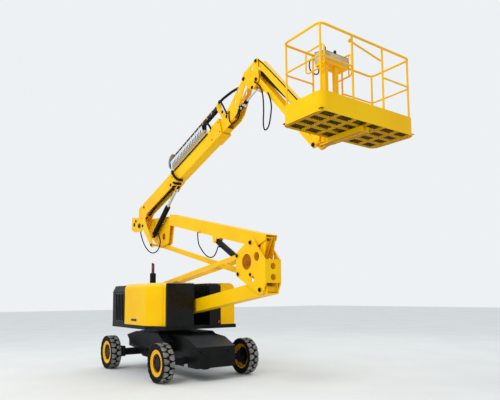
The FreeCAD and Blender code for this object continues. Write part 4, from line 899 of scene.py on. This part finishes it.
def chain_link():
    """One link from pin to pin: two side plates with pin bosses, and cross bars above and below."""
    half = CHAIN_LINK / 2
    reach = CHAIN_PITCH / 2
    plate = arc(reach - 0.024, 0.0, half, -90, 90, 8) + arc(-reach + 0.024, 0.0, half, 90, 270, 8)
    pieces = []
    for side in (-1, 1):
        y = BOOM_Y + side * 0.042
        y0, y1 = sorted((y, y - side * 0.007))
        pieces.append(slab("plate", plate, y0, y1, 0.0015, 1))
        pieces.append(rod("boss", (reach - 0.014, y - side * 0.006, 0), (reach - 0.014, y + side * 0.002, 0), 0.015, 16,
                          0.001))
    for x in (-0.022, 0.022):
        for z in (-half + 0.003, half - 0.007):
            pieces.append(block("bar", (x - 0.009, CHAIN_Y[0], z), (x + 0.009, CHAIN_Y[1], z + 0.004), 0.001, 1))
    return join("link", pieces)


def lay_chain():
    link = chain_link()
    (bx, bz), outer = CHAIN_BEND
    ride_radius = outer - CHAIN_LINK / 2
    upper = int((CHAIN_FRONT - bx) / CHAIN_PITCH)
    places = [(CHAIN_FRONT - (i + 0.5) * CHAIN_PITCH, bz + ride_radius, 0.0) for i in range(upper)]
    for i in range(4):
        angle = math.radians(112.0 + i * 42.0)
        places.append((bx + ride_radius * math.cos(angle), bz + ride_radius * math.sin(angle),
                       angle - math.pi / 2))
    lower = int((CHAIN_LOW_FRONT - bx) / CHAIN_PITCH)
    places += [(CHAIN_LOW_FRONT - (i + 0.5) * CHAIN_PITCH, bz - ride_radius, 0.0) for i in range(lower)]
    links = []
    for x, z, turn in places:
        piece = copy_of(link, "link_copy")
        piece.data.transform(Matrix.Translation((x, 0, z)) @ Matrix.Rotation(-turn, 4, "Y"))
        links.append(piece)
    bpy.data.objects.remove(link)
    hoses = []
    for k, y in enumerate((-0.022, 0.0, 0.022)):
        route = [(CHAIN_FRONT - 0.01, BOOM_Y + y, bz + ride_radius), (bx + 0.2, BOOM_Y + y, bz + ride_radius),
                 (bx - 0.12, BOOM_Y + y, bz + ride_radius), (bx - 0.12, BOOM_Y + y, bz - ride_radius),
                 (bx + 0.2, BOOM_Y + y, bz - ride_radius), (CHAIN_LOW_FRONT, BOOM_Y + y, bz - ride_radius)]
        hoses.append(fixed_line("chain_hose_%d" % k, route, 0.018))
    chain = move_onto(join("hose_chain_links", links + hoses), ON_BOOM)
    finish_piece(chain, "gel", "main_boom")
    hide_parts("hose_chain")

    count = int((CHAIN_FRONT - 0.1 - bx) / BAR_PITCH) + 1
    top = bz + outer
    bars = [block("clip", (-0.011, CHAIN_Y[0] - 0.004, top - CHAIN_LINK + 0.004),
                  (0.011, CHAIN_Y[0] + 0.001, top + 0.001), 0.0015, 1),
            block("clip_top", (-0.011, CHAIN_Y[0] - 0.004, top - 0.001), (0.011, CHAIN_Y[1] + 0.004, top + 0.003),
                  0.0015, 1)]
    clips = in_row(join("clips", bars), count, (BAR_PITCH, 0, 0))
    clips.data.transform(Matrix.Translation((bx + 0.01, 0, 0)))
    finish_piece(move_onto(clips, ON_BOOM), "amber", "main_boom")


def build_tray():
    """Galvanised tray: a tall far wall with a rounded rear, a low perforated near wall, floor and legs."""
    y0, y1 = TRAY_Y
    (bx, bz), r = BEND
    far = arc(bx, bz, r, 90, 270, 18)
    far += arc(TRAY_END - 0.012, TRAY_FLOOR + 0.012, 0.012, -90, 0, 4)
    far += arc(TRAY_END - 0.012, TRAY_TOP - 0.012, 0.012, 0, 90, 4)
    pieces = [slab("far_wall", far, y1 - 0.005, y1, 0.001, 1)]
    rim = [(bx + 0.06, bz + r)] + arc(bx, bz, r, 90, 270, 18) + [(bx + 0.06, bz - r)]
    rim += [(bx + 0.06, bz - r + 0.005)] + arc(bx, bz, r - 0.005, 270, 90, 18) + [(bx + 0.06, bz + r - 0.005)]
    pieces.append(slab("rim", rim, y0, y1 - 0.004, 0.001, 1))
    pieces.append(block("floor", (bx, y0, TRAY_FLOOR), (TRAY_END, y1, TRAY_FLOOR + 0.005), 0.001, 1))
    near = slab("near_wall", arc(bx - 0.03, TRAY_FLOOR + 0.03, 0.03, 180, 270, 4)
                + [(TRAY_END, TRAY_FLOOR), (TRAY_END, TRAY_FLOOR + 0.2), (bx - 0.06, TRAY_FLOOR + 0.2)],
                y0, y0 + 0.005)
    slot = arc(0.018, 0.080, 0.018, 0, 180, 6) + arc(-0.018, -0.005, 0.018, 180, 360, 6)
    holes = in_row(slab("slot", slot, y0 - 0.01, y0 + 0.02), 19, (0.070, 0, 0))
    holes.data.transform(Matrix.Translation((bx + 0.03, 0, TRAY_FLOOR + 0.040)))
    cut(near, holes)
    bevel(near, 0.0008, 1, angle=60)
    pieces.append(near)
    for s in (2.050, 2.570, 3.100):
        leg = block("leg", (s, y0, 0.457), (s + 0.040, y1, TRAY_FLOOR + 0.001), 0.003)
        pieces.append(leg)
    tray = block("duct", (DUCT[0], DUCT_Y - 0.048, 0.424), (DUCT[1], DUCT_Y, 0.526))
    cut(tray, block("duct_room", (DUCT[0] - 0.01, DUCT_Y - 0.06, 0.428), (DUCT[1] + 0.01, DUCT_Y - 0.004, 0.522)))
    bevel(tray, 0.0015, 2)
    pieces.append(tray)
    whole = move_onto(join("chain_tray_sheet", pieces), ON_BOOM)
    finish_piece(whole, "galvanised", "main_boom")
    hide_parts("chain_tray")


def fill_duct():
    """The sleeved hose bundle in the side duct and the black line under it."""
    bundle = slab("sleeve", arc(0, 0, 0.0455, 0, 360, 24)[:-1], DUCT[0] + 0.002, DUCT[1] - 0.002)
    bundle.data.transform(Matrix.Rotation(math.radians(-90.0), 4, "Z"))
    only(bundle)
    bpy.ops.object.mode_set(mode="EDIT")
    bpy.ops.mesh.select_all(action="SELECT")
    bpy.ops.mesh.normals_make_consistent(inside=False)
    bpy.ops.object.mode_set(mode="OBJECT")
    for v in bundle.data.vertices:
        v.co = Vector((v.co.x, DUCT_Y - 0.0255 + v.co.y * 0.44, 0.475 + v.co.z))
    bevel(bundle, 0.008, 3, angle=60)
    finish_piece(move_onto(bundle, ON_BOOM), "sleeve", "main_boom")
    line = fixed_line("duct_line", [(DUCT[0] - 0.04, DUCT_Y - 0.012, 0.413), (2.4, DUCT_Y - 0.012, 0.413),
                                    (3.0, DUCT_Y - 0.012, 0.413), (DUCT[1] + 0.04, DUCT_Y - 0.012, 0.413)], 0.020)
    finish_piece(move_onto(line, ON_BOOM), "hose", "main_boom")


# name, body, frame, diameter, points: hydraulic lines clamped to what carries them
LINES = [
    ("collar_line_a", "main_boom", "boom", 0.055, [(1.920, -0.205, 0.440), (1.945, -0.212, 0.350),
                                                    (2.000, -0.212, 0.250), (2.060, -0.208, 0.175),
                                                    (2.120, -0.165, 0.105), (2.150, -0.110, 0.100)]),
    ("collar_line_b", "main_boom", "boom", 0.050, [(1.900, -0.203, 0.165), (1.945, -0.209, 0.125),
                                                   (1.980, -0.150, 0.100), (1.990, -0.075, 0.100)]),
    ("tray_front_line", "main_boom", "boom", 0.044, [(3.330, -0.150, 0.560), (3.380, -0.150, 0.690),
                                                     (3.470, -0.150, 0.640), (3.540, -0.165, 0.520),
                                                     (3.600, -0.195, 0.430)]),
    ("gooseneck_bundle", "fly_boom", "boom", 0.050, [(3.850, -0.080, 0.868), (3.980, -0.080, 0.872),
                                                     (4.180, -0.080, 0.830), (4.400, -0.080, 0.780),
                                                     (4.540, -0.080, 0.720)]),
    ("fly_line", "fly_boom", "boom", 0.034, [(3.900, -0.110, 0.862), (3.980, -0.140, 0.835),
                                             (4.060, -0.192, 0.740), (4.100, -0.192, 0.620),
                                             (4.140, -0.192, 0.480), (4.170, -0.192, 0.380)]),
    ("jib_line", "jib_upper_bar", "bar", 0.018, [(-0.055, -0.172, 0.024), (0.060, -0.172, 0.052),
                                                  (0.600, -0.172, 0.066), (1.400, -0.172, 0.068),
                                                  (1.980, -0.172, 0.066), (2.040, -0.172, 0.040)]),
    ("belly_line_a", "main_boom", "boom", 0.030, [(0.140, -0.120, 0.170), (0.500, -0.125, 0.235),
                                                  (0.900, -0.120, 0.250), (1.300, -0.125, 0.235),
                                                  (1.640, -0.120, 0.200)]),
    ("belly_line_b", "main_boom", "boom", 0.026, [(0.160, -0.080, 0.130), (0.450, -0.070, 0.200),
                                                  (0.850, -0.060, 0.180), (1.250, -0.075, 0.195),
                                                  (1.620, -0.080, 0.170)]),
    ("belly_line_c", "main_boom", "boom", 0.022, [(0.180, -0.030, 0.160), (0.600, -0.020, 0.240),
                                                  (1.100, -0.030, 0.210), (1.600, -0.040, 0.220)]),
]


def run_lines():
    frames = {"boom": ON_BOOM, "bar": ON_UPPER_BAR}
    for name, body, place, diameter, points in LINES:
        finish_piece(move_onto(fixed_line(name, points, diameter), frames[place]), "hose", body)


def black_marks():
    """The collar's clamp bar and pin, and the caps of the cross pins along the boom."""
    bar = block("clamp", (1.785, BOOM_Y - 0.112, 0.108), (1.835, BOOM_Y + 0.090, 0.134), 0.004)
    near = BOOM_Y - 0.095
    pins = [rod("pin", (s, near + 0.002, t), (s, near - 0.012, t), r, 24, 0.003)
            for s, t, r in ((1.716, 0.209, 0.034), (0.296, 0.363, 0.026))]
    near = BOOM_Y - 0.105
    pins += [rod("pin", (s, near + 0.002, t), (s, near - 0.010, t), r, 20, 0.002)
             for s, t, r in ((1.850, 0.420, 0.014), (1.850, 0.330, 0.014), (3.560, 0.400, 0.014),
                             (3.850, 0.400, 0.014), (3.560, 0.200, 0.014), (3.850, 0.200, 0.014))]
    finish_piece(move_onto(join("boom_clamps", [bar] + pins), ON_BOOM), "black", "main_boom")
    y = TOP_LINK_Y
    marks = [rod("pin", machine(x, y + 0.002, z), machine(x, y - 0.012, z), r, 24, 0.003)
             for x, z, r in ((-1.702, 3.462, 0.034), (-1.296, 3.301, 0.034), (-1.794, 3.385, 0.044))]
    finish_piece(join("top_link_pins", marks), "black", "top_link")
    marks = [rod("pin", machine(x, outer_face("fly_boom", machine(x, 0, z).x, z, -1, 0.25) + 0.002, z),
                 machine(x, outer_face("fly_boom", machine(x, 0, z).x, z, -1, 0.25) - 0.008, z), 0.032, 24, 0.003)
             for x, z in (fly_hole(4.025, 0.525), fly_hole(4.120, 0.360))]
    finish_piece(join("fly_boom_pins", marks), "black", "fly_boom")


def fly_hole(s, t):
    """Boom-frame coordinates as machine x and z."""
    point = ON_BOOM @ Vector((s, 0, t))
    return point.x - SLEW_X, point.z


def level_fittings():
    """Zinc-plated adapters where the hoses enter the levelling cylinder."""
    pieces = []
    for x, z in ((2.759, 4.955), (2.902, 4.957)):
        at = machine(x, BOOM_Y, z)
        pieces.append(rod("nut", at + Vector((0, -0.050, 0)), at + Vector((0, -0.092, 0)), 0.026, 6, 0.002))
        pieces.append(rod("collar", at + Vector((0, -0.088, 0)), at + Vector((0, -0.118, 0)), 0.020, 20, 0.002))
    finish_piece(join("level_cylinder_fittings", pieces), "zinc", "level_barrel")


# Exhaust: black silencer can with strap bands, and a pipe cut on a slant at its top that heat has rusted

def build_exhaust():
    low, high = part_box("exhaust_stack")
    x, y = (low.x + high.x) / 2, (low.y + high.y) / 2
    can_top = low.z + 0.220
    can = [rod("can", (x, y, low.z), (x, y, can_top), 0.062, 40, 0.008)]
    for z in (low.z + 0.045, low.z + 0.160):
        can.append(rod("band", (x, y, z), (x, y, z + 0.022), 0.064, 40, 0.002))
    black = finish_piece(join("silencer_can", can), "black", "turntable")
    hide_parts("exhaust_stack")
    pipe = rod("tail_pipe", (x, y, can_top - 0.005), (x, y, high.z + 0.03), 0.030, 32)
    bore = rod("bore", (x, y, can_top + 0.03), (x, y, high.z + 0.06), 0.027, 32)
    cut(pipe, bore)
    slant = block("slant", (-0.2, -0.2, 0.0), (0.2, 0.2, 0.2))
    slant.data.transform(Matrix.Translation((x, y, high.z - 0.028)) @ Matrix.Rotation(math.radians(38.0), 4, "Y"))
    cut(pipe, slant)
    flange = rod("flange", (x, y, can_top), (x, y, can_top + 0.012), 0.044, 32, 0.002)
    rusty = finish_piece(join("tail_pipe_rusted", [pipe, flange]), "rust", "turntable")
    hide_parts("exhaust_stack")


# Platform: expanded metal under the floor, the control box and its joysticks

def floor_mesh():
    """Expanded metal under the deck plate, in diamonds of 62 mm by 44 mm, and a dark sheet above it that paints the
    shade under the floor.
    """
    low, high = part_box("platform_floor")
    x0, x1 = machine(PLATFORM[0], 0, 0).x + 0.008, high.x - 0.008
    y0, y1 = low.y + 0.008, high.y - 0.008
    z = PLATFORM[1] + 0.031
    middle_x, middle_y = (x0 + x1) / 2, (y0 + y1) / 2
    start_fresh()
    bpy.ops.mesh.primitive_grid_add(x_subdivisions=60, y_subdivisions=60, size=2.16)
    sheet = bpy.context.active_object
    sheet.name = "expanded_metal"
    sheet.data.transform(Matrix.Rotation(math.radians(45), 4, "Z"))
    sheet.data.transform(Matrix.Diagonal((1.22, 0.87, 1.0, 1.0)))
    sheet.data.transform(Matrix.Translation((middle_x, middle_y, z)))
    for co, no in (((x0, 0, 0), (-1, 0, 0)), ((x1, 0, 0), (1, 0, 0)), ((0, y0, 0), (0, -1, 0)), ((0, y1, 0), (0, 1, 0))):
        only(sheet)
        bpy.ops.object.mode_set(mode="EDIT")
        bpy.ops.mesh.select_all(action="SELECT")
        bpy.ops.mesh.bisect(plane_co=co, plane_no=no, clear_outer=True)
        bpy.ops.object.mode_set(mode="OBJECT")
    only(sheet)
    wires = sheet.modifiers.new("strands", "WIREFRAME")
    wires.thickness = 0.007
    bpy.ops.object.modifier_apply(modifier=wires.name)
    finish_piece(sheet, "mesh", "platform")
    # Painted shade: a thin dark sheet above the mesh stands for the shade under the deck plate.
    backing = block("painted_shade_underside", (x0, y0, PLATFORM[1] + 0.0345), (x1, y1, PLATFORM[1] + 0.0358), 0.0004, 1)
    finish_piece(backing, "underside_shade", "platform")


def build_console():
    """Sheet-metal control box with a dark sloping top panel, two joysticks in bellows and a row of switches."""
    low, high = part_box("console")
    z = PLATFORM[1] + 1.000
    x0 = machine(PLATFORM[0], 0, 0).x + 0.060
    depth = 0.215
    y0, y1 = BOOM_Y - 0.350, BOOM_Y + 0.110
    body = slab("box", [(x0, z), (x0 + depth, z), (x0 + depth, z + 0.121), (x0, z + 0.168)], y0, y1, 0.006, 3)
    seam = block("seam", (x0 + 0.004, y0 - 0.0005, z + 0.020), (x0 + depth + 0.0005, y1 + 0.0005, z + 0.024), 0.0005, 1)
    shell = finish_piece(join("control_box", [body, seam]), "console", "platform")
    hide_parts("console")
    panel = slab("panel", [(x0 + 0.003, z + 0.165), (x0 + depth - 0.003, z + 0.119), (x0 + depth, z + 0.125),
                           (x0, z + 0.172)], y0 + 0.002, y1 - 0.002, 0.002, 2)
    pieces = [panel]
    slope = -0.047 / depth
    for y in (y0 + 0.095, y0 + 0.300):
        x = x0 + 0.110
        top = z + 0.172 + slope * (x - x0)
        for k in range(5):
            r = 0.034 - 0.0045 * k
            pieces.append(rod("fold", (x, y, top - 0.004 + 0.009 * k), (x, y, top + 0.006 + 0.009 * k), r, 24, 0.003))
        pieces.append(rod("stick", (x, y, top + 0.03), (x, y, z + 0.205), 0.011, 16))
        grip = rod("grip", (x, y, z + 0.182), (x, y, z + 0.236), 0.021, 20, 0.009)
        pieces.append(grip)
    for k in range(5):
        x, y = x0 + 0.040, y0 + 0.060 + 0.080 * k
        top = z + 0.172 + slope * (x - x0)
        pieces.append(rod("boot", (x, y, top - 0.003), (x, y, top + 0.008), 0.010, 12, 0.002))
        pieces.append(rod("toggle", (x, y, top + 0.006), (x, y, top + 0.024), 0.0035, 8, 0.001))
    dark = finish_piece(join("control_panel", pieces), "gel", "platform")
    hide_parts("console")


# Hood latches, rim flanges, wheel nuts, the tail covers' ribs and the elbow's hole plate

def hood_latches():
    for side, name in ((-1, "right"), (1, "left")):
        low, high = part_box("door_" + name)
        face = low.y if side < 0 else high.y
        x0, x1, z = machine(-0.030, 0, 0).x, machine(0.250, 0, 0).x, 1.126
        y_in, y_out = sorted((face - side * 0.004, face + side * 0.003))
        cup = block("cup", (x0, y_in, z - 0.024), (x1, y_out, z + 0.024), 0.003)
        y_in, y_out = sorted((face, face + side * 0.009))
        bar = block("bar", (x0 + 0.02, y_in, z - 0.006), (x1 - 0.02, y_out, z + 0.010), 0.003)
        lock = rod("lock", (x1 - 0.02, face, z), (x1 - 0.02, face + side * 0.007, z), 0.009, 16, 0.001)
        finish_piece(join("hood_latch_" + name, [cup, bar, lock]), "gel", "door_" + name)


def rim_flanges():
    """The rim's yellow flange beside the tyre: a stepped ring with a rolled lip."""
    for name in ("front_right", "front_left", "rear_right", "rear_left"):
        side = -1 if name.endswith("right") else 1
        section = [(0.074, 0.176), (0.083, 0.174), (0.087, 0.178), (0.088, 0.207), (0.093, 0.211), (0.094, 0.234),
                   (0.0965, 0.239), (0.0975, 0.2485), (0.084, 0.2495), (0.066, 0.222)]
        ring = spun("rim_flange_" + name, [(side * y, r) for y, r in section], 72)
        ring.data.transform(Matrix.Translation(wheel_centre(name)))
        finish_piece(ring, "flange", "wheel_" + name, smooth=30)


def tail_ribs():
    """Upright cooling ribs on the tail covers, over a dark recess frame."""
    for side, name in ((-1, "right"), (1, "left")):
        low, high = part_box("tail_covers")
        face = low.y if side < 0 else high.y
        x0, x1 = low.x + 0.030, high.x - 0.020
        z0, z1 = low.z + 0.060, high.z - 0.170
        pieces = []
        for k in range(6):
            x = x0 + (x1 - x0 - 0.024) * k / 5
            y_in, y_out = sorted((face - side * 0.003, face + side * 0.016))
            pieces.append(block("rib", (x, y_in, z0), (x + 0.024, y_out, z1), 0.005))
        for z in (z0 - 0.004, z1 - 0.020):
            y_in, y_out = sorted((face - side * 0.003, face + side * 0.010))
            pieces.append(block("rail", (x0 - 0.01, y_in, z), (x1 + 0.01, y_out, z + 0.024), 0.004))
        finish_piece(join("tail_ribs_" + name, pieces), "gel", "turntable")


def close_elbow_hole():
    """The plate behind the round opening in the elbow's near side, inside the plate's thickness: a sheet painted
    orange-brown as the shade inside the elbow.
    """
    centre = machine(L_ELBOW[0] - 0.384, 0, L_ELBOW[1] + 0.484)
    disc = rod("disc", (centre.x, -0.1505, centre.z), (centre.x, -0.1465, centre.z), 0.1375, 48, 0.001)
    hub = rod("hub", (centre.x, -0.158, centre.z), (centre.x, -0.149, centre.z), 0.070, 40, 0.002)
    finish_piece(join("elbow_hole_shade_plate", [disc, hub]), "orange", "elbow_frame")


def wheel_nuts():
    """A black drum round each hub cover, with nine nuts and their washers on its face."""
    for name in ("front_right", "front_left", "rear_right", "rear_left"):
        side = -1 if name.endswith("right") else 1
        centre = wheel_centre(name)
        section = [(0.002, 0.127), (0.002, 0.156), (0.058, 0.156), (0.066, 0.150), (0.066, 0.127)]
        drum = spun("hub_drum_" + name, [(side * y, r) for y, r in section], 64)
        drum.data.transform(Matrix.Translation(centre))
        finish_piece(drum, "black", "wheel_" + name, smooth=30)
        face = centre.y + side * 0.065
        nuts = []
        for k in range(9):
            angle = 2 * math.pi * (k + 0.5) / 9
            x, z = centre.x + 0.139 * math.cos(angle), centre.z + 0.139 * math.sin(angle)
            nuts.append(rod("washer", (x, face, z), (x, face + side * 0.004, z), 0.0125, 20, 0.0008))
            nuts.append(rod("nut", (x, face, z), (x, face + side * 0.014, z), 0.010, 6, 0.0012))
            nuts.append(rod("stud", (x, face, z), (x, face + side * 0.019, z), 0.005, 12, 0.001))
        finish_piece(join("wheel_nuts_" + name, nuts), "iron", "wheel_" + name)


place_camera()
paint_nodes()
light_studio()
fit_tyres()
hang_hoses()
cap_pins()
lay_chain()
build_tray()
fill_duct()
run_lines()
black_marks()
level_fittings()
build_exhaust()
build_console()
floor_mesh()
hood_latches()
rim_flanges()
wheel_nuts()
tail_ribs()
close_elbow_hole()
